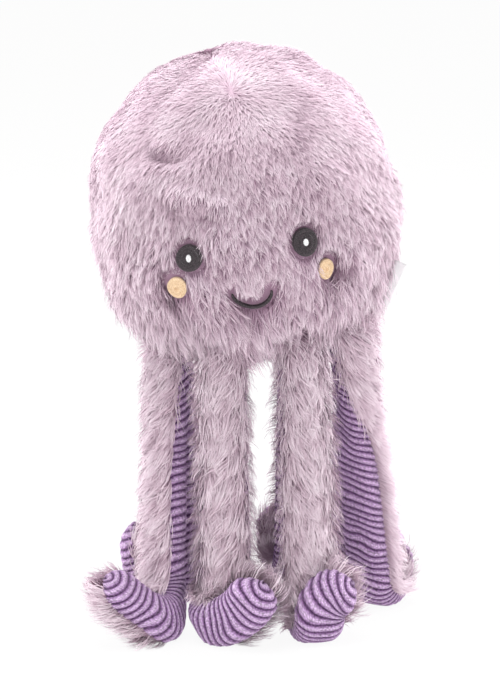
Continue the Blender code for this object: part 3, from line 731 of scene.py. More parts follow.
def off_thread(towards):
    """The distance along the cloth to the edge of the nearest embroidery, below zero under it. From an oval
    it is (hypot(right / half width, up / half height) - 1) * the mean of both halves."""
    nearest = np.ones(len(towards))
    for name, azimuth, elevation, half_width, half_height in FACE_PATCHES:
        centre = direction(FACE_YAW_DEG + azimuth, elevation)
        right, up, _, _ = on_face(towards, centre)
        if name.startswith("cheek"):
            right = right - CHEEK_COVER * np.sign(azimuth)
        gap = (np.hypot(right / half_width, up / half_height) - 1.0) * (half_width + half_height) / 2.0
        nearest = np.where(dots(towards, centre)[..., 0] > BESIDE_COSINE, np.minimum(nearest, gap), nearest)
    centre = direction(MOUTH_AZIMUTH_DEG, MOUTH_ELEVATION_DEG)
    right, up, _, _ = on_face(towards, centre)
    radial = np.hypot(right / MOUTH_HALF_WIDTH, up / MOUTH_DROP)
    below = np.abs(1.0 - radial) * (MOUTH_HALF_WIDTH + MOUTH_DROP) / 2.0
    above = np.hypot(np.abs(right) - MOUTH_HALF_WIDTH, up)
    gap = np.where(up < 0.0, below, above) - MOUTH_THREAD_RADIUS - MOUTH_CLEARANCE
    return np.where(dots(towards, centre)[..., 0] > BESIDE_COSINE, np.minimum(nearest, gap), nearest)


def trimmed_round_face(towards, nap, reach):
    """How long the pile may be at each root, as a share, and how high: none under the embroidery, short where
    it would reach over it, and pressed down round it."""
    share = np.ones(len(towards))
    for step in np.arange(TRIM_STEPS, 0, -1) / TRIM_STEPS:
        tip = unit(towards * HEAD_RADIUS + nap * reach[:, None] * step)
        shorter = np.minimum(share, max(step - 1.0 / TRIM_STEPS, SHORTEST_PILE))
        share = np.where(off_thread(tip) < TRIM_MARGIN, shorter, share)
    gap = off_thread(towards)
    pressed = PRESSED_RISE + PRESSED_SLOPE * np.maximum(gap, 0.0)
    rise = np.minimum(PILE_RISE * share**TRIM_RISE_POWER, pressed)
    return np.where(gap < TRIM_MARGIN / 2.0, 0.0, share), rise


# The whole head's pile is worked out at once, and then each panel takes the strands that root in it
fur = faux_fur()
strand_directions = spread_directions(STRANDS_ON_HEAD, ROOT_SEED)
strand_normals = cloth_normals(strand_directions)
strand_nap = head_nap(strand_directions, strand_normals)
height = strand_directions[:, 2]
strand_reach = PILE_REACH * np.interp(height, *REACH_BY_HEIGHT)
strand_share, strand_rise = trimmed_round_face(strand_directions, strand_nap, strand_reach)
strand_angle, _ = seam_angle(strand_directions)
strand_roots = cloth(strand_directions)
patchy, _ = waves(strand_roots, PATCH_SPACING, PATCH_SEED)
clumped, _ = waves(strand_roots + strand_nap * PILE_REACH, CLUMP_SPACING, CLUMP_SEED)
chance = np.random.default_rng(TONE_SEED)
strand_tone = chance.normal(size=STRANDS_ON_HEAD) * STRAND_TONE + CLUMP_TONE * clumped
strand_tone = strand_tone * np.interp(from_face(strand_directions), *TONE_SPREAD_BY_NEARNESS)
# Painted light: the strands start paler away from the face and darkest at its middle, as painted shade
strand_base = np.interp(from_face(strand_directions), *LIT_BASE_BY_NEARNESS)
strand_middle = unit(strand_directions * HEAD_RADIUS + strand_nap * strand_reach[:, None] * SEEN_SHARE)
# Painted shade over dents and painted light over folds, besides the random tones and patches
strand_tone = strand_tone + HEAD_TONE + PATCH_TONE * patchy + MARK_SHADE_AND_LIGHT * marks(strand_middle)
near_seam, _ = seam_nearness(strand_directions)
parting = np.linalg.norm(strand_directions - nearest_parting(strand_directions), axis=1) / PARTING_RADIUS
near_parting = np.exp(-(parting**2))
strand_rise = strand_rise * np.interp(height, *RISE_BY_HEIGHT) * (1.0 - SEAM_FLATNESS * near_seam)
strand_rise = strand_rise * (1.0 - PARTING_FLATNESS * near_parting)
# Painted light at the parting, against the shade in its hollow
strand_base = strand_base + PARTED_LIGHT_BASE * near_parting
strand_reach = strand_reach * strand_share
above_rim = -strand_directions[:, 2] < math.cos(rim_angle())
strand_turned = strand_angle + PANEL_EDGES_DEG[0]

panel_ends = (*PANEL_EDGES_DEG[1:], PANEL_EDGES_DEG[0] + 360.0)
for k, (name, low, high) in enumerate(zip(PANEL_NAMES, PANEL_EDGES_DEG, panel_ends)):
    grows = above_rim & (strand_share > 0.0) & (strand_turned >= low) & (strand_turned < high)
    hair = pile(
        to_world(strand_roots[grows]), strand_normals[grows] @ head_turn.T, strand_nap[grows] @ head_turn.T,
        strand_rise[grows], strand_reach[grows], PILE_WIDTH, strand_tone[grows],
        strand_base[grows], PANEL_SEED + k, (
            (LOCK_SPACING, np.interp(height[grows], *FINE_GATHER_BY_HEIGHT)),
            (BROAD_LOCK_SPACING, np.interp(height[grows], *BROAD_GATHER_BY_HEIGHT)),
        ),
    )
    panel = new_piece(f"head_fur_{name}", fur, backing(*panel_backing(low, high)), hair)
    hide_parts(f"head_panel_{name}")
    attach(panel, "head")


# Base panel and filling
# A round fur panel closes the head from below, between the arms. The head is blown full of loose polyester
# fibre.

BASE_RINGS = 20
BASE_SECTORS = 48
BASE_BACKING_TONE = 0.4
BASE_NORMAL_STRETCH = (1.0, 1.0, 1.6)  # which turns the normals further down than the directions
BASE_RISE_SHARE = 1.4  # of the head's
BASE_TONE = 0.45
BASE_TONE_SPREAD = 0.13
BASE_ROOT_SEED = 23
BASE_TONE_SEED = 24
BASE_PILE_SEED = 35
STRANDS_ON_BALL = 66000  # as if they were on the whole ball, of which the base is a part
FILLING_ROWS = 40
FILLING_COLUMNS = 64
HEAD_FILLING_INSET = 0.006
FIBRE_SPACING = 0.012
FIBRE_LUMP = 0.0007
FIBRE_SEED = 16


def polyester_filling():
    """Crimped hollow polyester fibre: matt, soft white, with fine tangled hairs."""
    material, tree, shader = new_material("polyester_filling")
    place = add_node(tree, "ShaderNodeTexCoord")
    hairs = add_node(tree, "ShaderNodeTexNoise", {
        "Vector": place.outputs["Object"], "Scale": 600.0, "Detail": 4.0, "Distortion": 2.0,
    })
    colour = add_node(tree, "ShaderNodeValToRGB", {0: hairs.outputs[0]}, stops=(
        (0.3, "#DAD8D4"), (0.7, "#F8F7F4"),
    ))
    bump = add_node(tree, "ShaderNodeBump", {"Height": hairs.outputs[0], "Distance": 0.0006})
    set_inputs(tree, shader, {"Base Color": colour.outputs[0], "Normal": bump.outputs[0], "Roughness": 0.95})
    return material


def disc_directions(reach, rings, sectors):
    """A grid of directions round straight down, out to an angle."""
    polar = np.linspace(0.0, reach, rings)[:, None]
    turned = np.linspace(0.0, 2.0 * math.pi, sectors + 1)
    level = np.sin(polar)
    down = np.broadcast_to(-np.cos(polar), (rings, sectors + 1))
    return np.stack((level * np.cos(turned), level * np.sin(turned), down), axis=-1)


def even_chart(rows, columns):
    """Places on the colour map for a grid of points: from 0 to 1 along its rows and along its columns."""
    u, v = np.meshgrid(np.linspace(0.0, 1.0, columns), np.linspace(0.0, 1.0, rows))
    return np.stack((u, v), axis=-1)


def closed_surface(grid):
    """A surface through a grid of points whose edges meet."""
    rows, columns = grid.shape[:2]
    i, j = np.meshgrid(np.arange(rows - 1), np.arange(columns - 1), indexing="ij")
    corner = (i * columns + j).reshape(-1)
    quads = np.stack((corner, corner + 1, corner + columns + 1, corner + columns), axis=-1)
    return welded(grid.reshape(-1, 3), quads, even_chart(rows, columns).reshape(-1, 2))


def lumpy(points, away):
    """Points moved out and in by soft lumps of fibre, along the directions that point away from the
    middle."""
    lumps, _ = waves(points, FIBRE_SPACING, FIBRE_SEED)
    return points + away * (lumps * FIBRE_LUMP)[..., None]


towards = disc_directions(rim_angle(), BASE_RINGS, BASE_SECTORS)
outer = towards * head_reach(towards)[..., None]
inner = outer - towards * PANEL_THICKNESS
base_backing = backing(to_world(outer), to_world(inner), BASE_BACKING_TONE, BACKING_SHADE)
towards = spread_directions(STRANDS_ON_BALL, BASE_ROOT_SEED)
towards = towards[-towards[:, 2] > math.cos(rim_angle())]
outwards = towards * np.array((1.0, 1.0, 0.0))
normals = unit(towards * np.array(BASE_NORMAL_STRETCH))
count = len(towards)
hair = pile(
    to_world(towards * head_reach(towards)[..., None]), normals @ head_turn.T,
    unit(outwards - dots(outwards, normals) * normals) @ head_turn.T,
    np.full(count, BASE_RISE_SHARE * PILE_RISE), np.full(count, PILE_REACH), PILE_WIDTH,
    np.random.default_rng(BASE_TONE_SEED).normal(BASE_TONE, BASE_TONE_SPREAD, count), np.zeros(count),
    BASE_PILE_SEED, ((LOCK_SPACING, 1.0),),
)
base = new_piece("head_fur_base", fur, base_backing, hair)
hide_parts("base_panel")
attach(base, "head")

fibre = polyester_filling()
towards = disc_directions(math.pi, FILLING_ROWS, FILLING_COLUMNS)
surface = lumpy(towards * (head_reach(towards) - HEAD_FILLING_INSET)[..., None], towards)
filling = new_piece("head_filling", fibre, closed_surface(to_world(surface)))
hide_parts("head_stuffing")
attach(filling, "head")


# Eyes, their highlights and cheeks
# Machine embroidery in rayon thread, sewn through the fur so that it lies in the pile. Each eye is three
# rings of satin stitches, with a small white oval sewn on it last. Each cheek is two rings.

THREAD_LIFT = 0.0018  # the pile under the stitches keeps them this far off the cloth
PATCH_THICKNESS = 0.0016
EYE_RINGS = 3
CHEEK_RINGS = 2
RING_SWELL = 0.00055
RING_POWER = 0.6
STITCH_SPACING = 0.00075  # real rayon thread is about 0.4 mm wide, drawn wider so that it shows
STITCH_DEPTH = 0.00020
STITCH_SLANT = 1.1  # of half a stitch, from a ring's inner edge to its outer one
FEWEST_STITCHES = 6.0  # in a ring
PATCH_STEPS_PER_RING = 12
PATCH_SECTORS = 260
HIGHLIGHT_HALF_WIDTH = 0.0014
HIGHLIGHT_HALF_HEIGHT = 0.0018
HIGHLIGHT_THICKNESS = 0.0006
HIGHLIGHT_RINGS = 1


def rayon_thread(name, colour, shade):
    """Embroidery thread: bright twisted rayon, whose stitches shine along their length. The stitches are in
    the mesh; the colour adds a fine random speckle of painted shade, which stands for the dark between threads,
    and each thread's own small difference."""
    material, tree, shader = new_material(name)
    place = add_node(tree, "ShaderNodeTexCoord")
    fibres = add_node(tree, "ShaderNodeTexNoise", {
        "Vector": place.outputs["Object"], "Scale": 1500.0, "Detail": 3.0, "Roughness": 0.6,
    })
    tint = add_node(tree, "ShaderNodeValToRGB", {0: fibres.outputs[0]}, stops=((0.40, shade), (0.60, colour)))
    bump = add_node(tree, "ShaderNodeBump", {
        "Height": fibres.outputs[0], "Distance": 0.00015, "Strength": 0.6,
    })
    set_inputs(tree, shader, {
        "Base Color": tint.outputs[0], "Normal": bump.outputs[0], "Roughness": 0.42, "Sheen Weight": 0.15,
    })
    return material


def laid_on_head(centre, right, up, height):
    """Points to the right of and above a place on the face, each at a height off the cloth."""
    _, _, east, north = on_face(centre[None], centre)
    towards = unit(centre * float(head_reach(centre)) + east * right[..., None] + north * up[..., None])
    return to_world(cloth(towards) + towards * height[..., None])


def satin_rings(centre, half_width, half_height, rings, lift, thickness):
    """An embroidered patch as a closed cushion. On top, at a share s of the radius and an angle, the height
    is a bulge sin(pi * t)^0.6 over each ring, t being the share across it, with one ridge for each stitch
    round it."""
    steps = rings * PATCH_STEPS_PER_RING
    share = np.linspace(0.0, 1.0, steps + 1)[:, None]
    angle = np.linspace(0.0, 2.0 * math.pi, PATCH_SECTORS + 1)
    ring = np.minimum(np.floor(share * rings), rings - 1)
    across = share * rings - ring
    middle_radius = (ring + 0.5) / rings * (half_width + half_height) / 2.0
    stitches = np.maximum(np.round(2.0 * math.pi * middle_radius / STITCH_SPACING), FEWEST_STITCHES)
    bulge = np.sin(math.pi * np.clip(across, 0.0, 1.0)) ** RING_POWER
    ridge = np.cos(stitches * angle + STITCH_SLANT * across * math.pi)
    top = lift + thickness + RING_SWELL * bulge + STITCH_DEPTH * ridge * bulge
    top = top * np.ones_like(angle)
    underside = np.full((2, PATCH_SECTORS + 1), lift)
    heights = np.concatenate((top, underside))
    shares = np.concatenate((share, np.array(((1.0,), (0.0,)))))
    right = half_width * shares * np.cos(angle)
    up = half_height * shares * np.sin(angle)
    return closed_surface(laid_on_head(centre, right, up, heights))


black_thread = rayon_thread("black_rayon_thread", "#40323A", "#100A0E")
tan_thread = rayon_thread("tan_rayon_thread", "#EBD0AE", "#D3B28C")
white_thread = rayon_thread("white_rayon_thread", "#FBFBFB", "#D9D9DC")
for name, azimuth, elevation, half_width, half_height in FACE_PATCHES:
    centre = direction(FACE_YAW_DEG + azimuth, elevation)
    is_eye = name.startswith("eye")
    rings = EYE_RINGS if is_eye else CHEEK_RINGS
    patch = new_piece(
        f"{name}_stitches", black_thread if is_eye else tan_thread,
        satin_rings(centre, half_width, half_height, rings, THREAD_LIFT, PATCH_THICKNESS),
    )
    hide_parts(name)
    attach(patch, "head")
    if is_eye:
        highlight_name = name.replace("eye", "eye_highlight")
        highlight = new_piece(
            f"{highlight_name}_stitches", white_thread,
            satin_rings(
                centre, HIGHLIGHT_HALF_WIDTH, HIGHLIGHT_HALF_HEIGHT, HIGHLIGHT_RINGS,
                THREAD_LIFT + PATCH_THICKNESS, HIGHLIGHT_THICKNESS,
            ),
        )
        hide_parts(highlight_name)
        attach(highlight, "head")


# Mouth
# A smile in black satin stitch: threads laid side by side across a curved line, so that it stands up like a
# cord.

MOUTH_STEPS = 300
MOUTH_SECTORS = 20
MOUTH_LIFT = 0.0033
MOUTH_STITCH_SPACING = 0.0006
MOUTH_STITCH_DEPTH = 0.00012
MOUTH_END_POWER = 0.25


def smile():
    """A closed cord along the lower half of an ellipse. Its radius is r * sin(turn)^0.25, which brings both
    ends to a point, with one ridge for each stitch."""
    centre = direction(MOUTH_AZIMUTH_DEG, MOUTH_ELEVATION_DEG)
    turned = np.linspace(0.0, math.pi, MOUTH_STEPS)
    right = -MOUTH_HALF_WIDTH * np.cos(turned)
    up = -MOUTH_DROP * np.sin(turned)
    middle = laid_on_head(centre, right, up, np.full(MOUTH_STEPS, MOUTH_LIFT))
    along = unit(np.gradient(middle, axis=0))
    outward = unit(middle - head_centre)
    side = unit(np.cross(along, outward))
    walked = np.concatenate(((0.0,), np.cumsum(np.linalg.norm(np.diff(middle, axis=0), axis=1))))
    angle = np.linspace(0.0, 2.0 * math.pi, MOUTH_SECTORS + 1)
    ridge = np.cos(2.0 * math.pi * walked / MOUTH_STITCH_SPACING)
    radius = (MOUTH_THREAD_RADIUS + MOUTH_STITCH_DEPTH * ridge) * np.sin(turned) ** MOUTH_END_POWER
    ring = side[:, None] * np.cos(angle)[:, None] + outward[:, None] * np.sin(angle)[:, None]
    return closed_surface(middle[:, None] + ring * radius[:, None, None])


mouth = new_piece("mouth_stitches", black_thread, smile())
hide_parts("mouth")
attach(mouth, "head")


# Care label
# A white woven polyester ribbon, folded in two and caught in the seam between the front and right panels. Its
# face is bare.

LABEL_AZIMUTH_DEG = 82.0
LABEL_TILT_DEG = -31.0
LABEL_WIDTH = 0.026
LABEL_LENGTH = 0.0125
LABEL_THICKNESS = 0.0003
LABEL_FOLD_RADIUS = 0.0007
LABEL_ROOT_GAP = 0.0002
LABEL_WAVE = 0.0007
LABEL_HALF_WAVES = 2.4  # across the ribbon
LABEL_STEPS = 80
LABEL_COLUMNS = 40


def woven_ribbon():
    """Satin-woven polyester: smooth, white, with a fine grid of threads about 0.25 mm apart."""
    material, tree, shader = new_material("white_woven_ribbon")
    chart = add_node(tree, "ShaderNodeUVMap", uv_map="OFBake")
    spread = add_node(tree, "ShaderNodeMapping", {"Vector": chart.outputs[0], "Scale": (2.6, 2.4, 1.0)})
    threads = {"Vector": spread.outputs[0], "Scale": 13.0}
    warp = add_node(tree, "ShaderNodeTexWave", threads, bands_direction="X")
    weft = add_node(tree, "ShaderNodeTexWave", threads, bands_direction="Y")
    weave = add_node(tree, "ShaderNodeMath", {0: warp.outputs[1], 1: weft.outputs[1]}, operation="ADD")
    half = add_node(tree, "ShaderNodeMath", {0: weave.outputs[0], 1: 0.5}, operation="MULTIPLY")
    colour = add_node(tree, "ShaderNodeValToRGB", {0: half.outputs[0]}, stops=(
        (0.2, "#EFEFF1"), (0.8, "#FAFAFB"),
    ))
    bump = add_node(tree, "ShaderNodeBump", {"Height": half.outputs[0], "Distance": 0.0001})
    set_inputs(tree, shader, {"Base Color": colour.outputs[0], "Normal": bump.outputs[0], "Roughness": 0.5})
    return material


def eased(share):
    """A share s that starts and ends gently: 3 * s^2 - 2 * s^3."""
    share = np.clip(share, 0.0, 1.0)
    return share * share * (3.0 - 2.0 * share)


def folded_ribbon():
    """A ribbon that runs out from the seam, round a small fold and back. Its free end waves a little:
    wave * (distance / length)^2 * sin(across)."""
    root = -(LABEL_FOLD_RADIUS + LABEL_THICKNESS)
    fold = LABEL_LENGTH + root
    run = fold - root
    bend = math.pi * LABEL_FOLD_RADIUS
    walked = np.linspace(0.0, 2.0 * run + bend, LABEL_STEPS)
    turned = np.clip((walked - run) / bend, 0.0, 1.0) * math.pi - math.pi / 2.0
    back = np.where(walked > run + bend, 2.0 * run + bend - walked, np.minimum(walked, run))
    spread = LABEL_ROOT_GAP + (LABEL_FOLD_RADIUS - LABEL_ROOT_GAP) * eased(back / run)
    side = np.where(np.abs(turned) < math.pi / 2.0, np.sin(turned), np.sign(turned))
    seam = np.linspace(-0.5, 0.5, LABEL_COLUMNS) * LABEL_WIDTH
    layers = []
    for lift in (LABEL_THICKNESS, 0.0):
        out = root + back + (LABEL_FOLD_RADIUS + lift) * np.cos(turned)
        over = (spread + lift) * side
        wave = LABEL_WAVE * (back / run)[:, None] ** 2 * np.sin(seam / LABEL_WIDTH * LABEL_HALF_WAVES * math.pi)
        place = out[:, None, None] * label_axes[0] + (over[:, None] + wave)[..., None] * label_axes[1]
        layers.append(pivots["label"] + place + seam[:, None] * label_axes[2])
    return shell(layers[0], layers[1], even_chart(LABEL_STEPS, LABEL_COLUMNS))


outward = direction(LABEL_AZIMUTH_DEG, LABEL_TILT_DEG)
across = unit(np.array((-outward[1], outward[0], 0.0)))
label_axes = np.stack((outward, across, np.cross(outward, across))) @ head_turn.T
label = new_piece("care_label_ribbon", woven_ribbon(), folded_ribbon())
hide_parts("care_label")
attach(label, "label")


# Arms
# Eight stuffed tubes, each sewn from a strip of fur, outside, and a strip of chunky rib knit, inside. Each
# hangs from the head's base, and curls at its end so that the knit is the sole. The knit's ribs run across
# the arm.

ROOT_HALF_WIDTH = 0.0105
ROOT_HALF_DEPTH = 0.0080
FOOT_HALF_WIDTH = 0.0132
FOOT_HALF_DEPTH = 0.0090
CURL_SURPLUS = 0.038
TWIST_SHARE = 0.55
TIP_ROUNDING = 0.011
LINE_STEPS = 180
LINE_FITS = 10
FLOOR_SINK = 0.0007  # how far the round sole would go below the floor, before it lies flat on it
RIB_SPACING = 0.00435
RIB_RISE = 0.0016
RIB_VALLEY = 0.0004
RIB_POWER = 0.42
RIB_SLANT = 0.35
RIB_BOW = 0.95
RIB_WANDER = 0.16
RIB_WANDER_SPACING = 0.022
RIB_SEED = 18
RIB_LINE_STEPS = 900
KNIT_SQUARENESS = 0.0011
STEPS_PER_RIB = 10
KNIT_COLUMNS = 26
KNIT_THICKNESS = 0.0015
KNIT_CHART_LENGTH = 0.27
KNIT_CHART_WIDTH = 0.036
STITCHES_ACROSS = 950.0  # in a metre
STITCHES_ALONG = 1150.0
YARN_FRAY = 0.30  # how much the mixture of yarns blurs the shade between ribs
YARN_CONTRAST = 0.80
KNIT_TONE = 1.14
STITCH_CONTRAST = -1.2  # from the middle of a stitch, which is pale, to the gaps round it
STRANDS_PER_ARM = 11500
ARM_PILE_RISE = 0.0076
ARM_PILE_REACH = 0.0115
# How far up the colours of the pile an arm's strands start, from its root to its end. It rises towards the
#  curled end as painted light, so that the low feet, which less light reaches, show pale.
ARM_LIT_BASE_BY_LENGTH = ((0.0, 0.74, 0.88, 1.0), (0.42, 0.44, 0.70, 0.80))
SEAM_PILE_REACH = 0.80  # of the arm's pile where it meets the knit, as a share
ARM_LOCK_SPACING = 0.0060
ARM_NAP_INWARD = 0.60
ARM_NAP_TURN = 3.0  # how soon, from the arm's middle line, the pile turns in towards it
SEAM_OVERHANG_DEG = 6.0
SEAM_POWER = 6  # how close to the seams the pile is shorter
ARM_BACKING_ROWS = 110
ARM_BACKING_COLUMNS = 18
ROOT_GROWTH = 0.85  # how far up the root's dome strands grow, as a share
TIP_BARE = 0.0004
TIP_GROWTH = 0.05  # how many strands grow at the very tip, as a share
ARM_TONE = 0.68
ARM_STRAND_TONE = 0.10
ARM_PATCH_SPACING = 0.016
ARM_PATCH_TONE = 0.06
ARM_PATCH_SEED = 15
ARM_SEED = 40
ARM_PILE_SEED_STEP = 100
ARM_FILLING_INSET = 0.0034
FILLING_AROUND = 20
FILLING_ALONG = 70


def hook(azimuth):
    """The turns of an arm that curls up in one plane, towards an azimuth."""
    return (
        (0.31, (azimuth, 0.0), (azimuth, -90.0)),
        (0.62, (azimuth, 80.0), (azimuth, -10.0)),
        (1.00, (azimuth, 88.0), (azimuth, -2.0)),
    )


# Name, azimuth, lean outwards, lean sideways and twist, and the turns of the curl: the share of it, then the
# azimuth and elevation of where the tip points and of where the sole faces
ARMS = (
    ("front_left", -22.5, 1.0, 1.0, 0.0, (
        (0.25, (-60.0, -46.0), (-140.0, -25.0)), (0.50, (68.0, 20.0), (-4.0, 0.0)),
        (1.0, (40.0, 72.0), (-8.0, 0.0)),
    )),
    ("left_front", -67.5, 4.0, 7.0, -20.0, (
        (0.34, (-8.0, -22.0), (82.0, 14.0)), (0.62, (-78.0, 36.0), (56.0, 52.0)),
        (1.0, (-80.0, 48.0), (56.0, 50.0)),
    )),
    ("left_back", -112.5, -6.0, 5.0, 0.0, hook(-100.0)),
    ("back_left", -157.5, 0.0, 1.0, 0.0, hook(-157.5)),
    ("back_right", 157.5, 0.0, 0.0, 0.0, hook(-150.0)),
    ("right_back", 112.5, 3.0, 6.0, 0.0, hook(112.0)),
    ("right_front", 58.5, -1.0, 13.0, 81.0, hook(150.0)),
    ("front_right", 22.5, 1.0, 1.5, 0.0, (
        (0.26, (20.0, -10.0), (35.0, -80.0)), (0.48, (18.0, 84.0), (12.0, -6.0)),
        (0.77, (88.0, 38.0), (5.0, 5.0)), (1.0, (95.0, -28.0), (5.0, 5.0)),
    )),
)


def chunky_rib_knit():
    """Brushed polyester rib knit in violet: broad ribs that catch the light, deep shade between them, and a
    grain of small stitches of two mixed yarns. The chart runs across the strip and along it, in real
    lengths."""
    material, tree, shader = new_material("violet_rib_knit")
    chart = add_node(tree, "ShaderNodeUVMap", uv_map="OFBake")
    split = add_node(tree, "ShaderNodeSeparateXYZ", {0: chart.outputs[0]})
    ribs = add_node(tree, "ShaderNodeMath", {
        0: split.outputs[1], 1: KNIT_CHART_LENGTH / RIB_SPACING,
    }, operation="MULTIPLY")
    over_rib = add_node(tree, "ShaderNodeMath", {0: ribs.outputs[0], 1: 1.0}, operation="FRACT")
    from_crest = add_node(tree, "ShaderNodeMath", {0: over_rib.outputs[0], 1: 0.5}, operation="SUBTRACT")
    crest = add_node(tree, "ShaderNodeMath", {0: from_crest.outputs[0]}, operation="ABSOLUTE")
    laid = add_node(tree, "ShaderNodeMapping", {
        "Vector": chart.outputs[0],
        "Scale": (KNIT_CHART_WIDTH * STITCHES_ACROSS, KNIT_CHART_LENGTH * STITCHES_ALONG, 1.0),
    })
    grain = add_node(tree, "ShaderNodeTexVoronoi", {
        "Vector": laid.outputs[0], "Scale": 1.0, "Randomness": 0.75,
    })
    heather = add_node(tree, "ShaderNodeTexNoise", {
        "Vector": laid.outputs[0], "Scale": 0.9, "Detail": 2.0, "Roughness": 0.7,
    })
    frayed = add_node(tree, "ShaderNodeMath", {
        0: heather.outputs[0], 1: YARN_FRAY, 2: crest.outputs[0],
    }, operation="MULTIPLY_ADD")
    shade = add_node(tree, "ShaderNodeValToRGB", {0: frayed.outputs[0]}, stops=(
        (0.08, "#E6CBEC"), (0.68, "#3A2044"), (0.38, "#C4A1CF"), (0.54, "#7F5A89"),
    ))
    mixture = add_node(tree, "ShaderNodeMath", {
        0: heather.outputs[0], 1: YARN_CONTRAST, 2: KNIT_TONE,
    }, operation="MULTIPLY_ADD")
    dark = add_node(tree, "ShaderNodeMath", {
        0: grain.outputs["Distance"], 1: STITCH_CONTRAST, 2: mixture.outputs[0],
    }, operation="MULTIPLY_ADD")
    grey = add_node(tree, "ShaderNodeCombineColor", {
        0: dark.outputs[0], 1: dark.outputs[0], 2: dark.outputs[0],
    })
    mixed = add_node(tree, "ShaderNodeMix", {
        "Factor": 1.0, 6: shade.outputs[0], 7: grey.outputs[0],
    }, data_type="RGBA", blend_type="MULTIPLY")
    bump = add_node(tree, "ShaderNodeBump", {"Height": dark.outputs[0], "Distance": 0.0009, "Strength": 1.0})
    set_inputs(tree, shader, {
        "Base Color": mixed.outputs[2], "Normal": bump.outputs[0], "Roughness": 0.85,
        "Specular IOR Level": 0.2, "Sheen Weight": 0.35, "Sheen Tint": to_linear("#E6CFEA"),
    })
    return material


def axes_from(tip, sole):
    """An arm's axes at one place, as columns: across it, out of its knit side, and back towards its root."""
    back = -Vector(direction(*tip))
    sole = Vector(direction(*sole))
    ribbed = (sole - back * sole.dot(back)).normalized()
    return Matrix((ribbed.cross(back), ribbed, back)).transposed()


def shaft_axes(azimuth, lean_out, lean_side, twist):
    """An arm's axes at its root: turned to its side of the head, leaned outwards and sideways, then
    twisted."""
    turns = ((azimuth, "Z"), (-lean_out, "X"), (-lean_side, "Y"), (twist, "Z"))
    made = Matrix.Identity(3)
    for angle, axis in turns:
        made = made @ Matrix.Rotation(math.radians(angle), 3, axis)
    return made


def half_sizes(share):
    """Half of the arm's width and depth, which swell from the root to the foot."""
    swell = eased(share)
    width = ROOT_HALF_WIDTH + (FOOT_HALF_WIDTH - ROOT_HALF_WIDTH) * swell
    depth = ROOT_HALF_DEPTH + (FOOT_HALF_DEPTH - ROOT_HALF_DEPTH) * swell
    return width, depth


def arm_line(azimuth, lean_out, lean_side, twist, turns, root):
    """The arm's middle line, as distances, points and axes. The shaft twists smoothly, the curl turns
    steadily from one key to the next, and the shaft's length is what lets the lowest ellipse just reach the
    floor."""
    start = shaft_axes(azimuth, lean_out, lean_side, 0.0).to_quaternion()
    keys = [(0.0, shaft_axes(azimuth, lean_out, lean_side, twist).to_quaternion())]
    keys += [(share, axes_from(tip, sole).to_quaternion()) for share, tip, sole in turns]
    distances = np.linspace(0.0, arm_length, LINE_STEPS + 1)
    width, depth = half_sizes(distances / arm_length)
    shaft = root[2] - 2.0 * FOOT_HALF_DEPTH

    def axes_at(distance):
        if distance <= shaft:
            return start.slerp(keys[0][1], float(eased(distance / shaft / TWIST_SHARE)))
        share = (distance - shaft) / (arm_length - shaft)
        for (low, before), (high, after) in zip(keys, keys[1:]):
            if share <= high:
                return before.slerp(after, (share - low) / (high - low))
        return keys[-1][1]

    for _ in range(LINE_FITS):
        axes = np.array([axes_at(distance).to_matrix() for distance in distances])
        steps = (axes[1:, :, 2] + axes[:-1, :, 2]) / 2.0 * (arm_length / LINE_STEPS)
        points = root - np.concatenate((np.zeros((1, 3)), np.cumsum(steps, axis=0)))
        low = points[:, 2] - np.hypot(width * axes[:, 2, 0], depth * axes[:, 2, 1])
        shaft += low[distances <= arm_length - TIP_ROUNDING].min() + FLOOR_SINK
    return distances, points, axes


def on_arm(line, along, angle, lift):
    """Points, outward normals and axes on an arm's cover. Across it is an ellipse; its root and tip are domes
    of the same ellipse, scaled by sqrt(1 - cap^2), where cap is the share of the dome's height."""
    distances, points, axes = line
    end = arm_length - TIP_ROUNDING
    held = np.clip(along, 0.0, end)
    middle = np.stack([np.interp(held, distances, points[:, k]) for k in range(3)], axis=-1)
    frame_here = np.stack(
        [np.interp(held, distances, axes[:, k // 3, k % 3]) for k in range(9)], axis=-1
    ).reshape(*held.shape, 3, 3)
    frame_here = frame_here / np.linalg.norm(frame_here, axis=-2, keepdims=True)
    width, depth = half_sizes(held / arm_length)
    root_cap = np.clip(-along / ROOT_HALF_DEPTH, 0.0, 1.0)
    tip_cap = np.clip((along - end) / TIP_ROUNDING, 0.0, 1.0)
    scale = np.sqrt(1.0 - (root_cap + tip_cap) ** 2)
    back = frame_here[..., 2]
    middle = middle + back * (root_cap * ROOT_HALF_DEPTH - tip_cap * TIP_ROUNDING)[..., None]
    flat = frame_here[..., 0] * (width * np.cos(angle))[..., None]
    flat = flat + frame_here[..., 1] * (depth * np.sin(angle))[..., None]
    slope = frame_here[..., 0] * (np.cos(angle) / width)[..., None]
    slope = slope + frame_here[..., 1] * (np.sin(angle) / depth)[..., None]
    cap = back * (root_cap / ROOT_HALF_DEPTH - tip_cap / TIP_ROUNDING)[..., None]
    normals = unit(slope * scale[..., None] + cap)
    lift = np.asarray(lift, float)
    return middle + flat * scale[..., None] + normals * lift[..., None], normals, frame_here


def rib_rows(line):
    """Where the knit's rows of points lie along the arm: evenly spaced along the middle of the sole."""
    along = np.linspace(-ROOT_HALF_DEPTH, arm_length, RIB_LINE_STEPS)
    middle, _, _ = on_arm(line, along, np.full(RIB_LINE_STEPS, math.pi / 2.0), 0.0)
    walked = np.concatenate(((0.0,), np.cumsum(np.linalg.norm(np.diff(middle, axis=0), axis=1))))
    count = int(walked[-1] / RIB_SPACING * STEPS_PER_RIB)
    even = np.linspace(0.0, walked[-1], count)
    return np.interp(even, walked, along), even


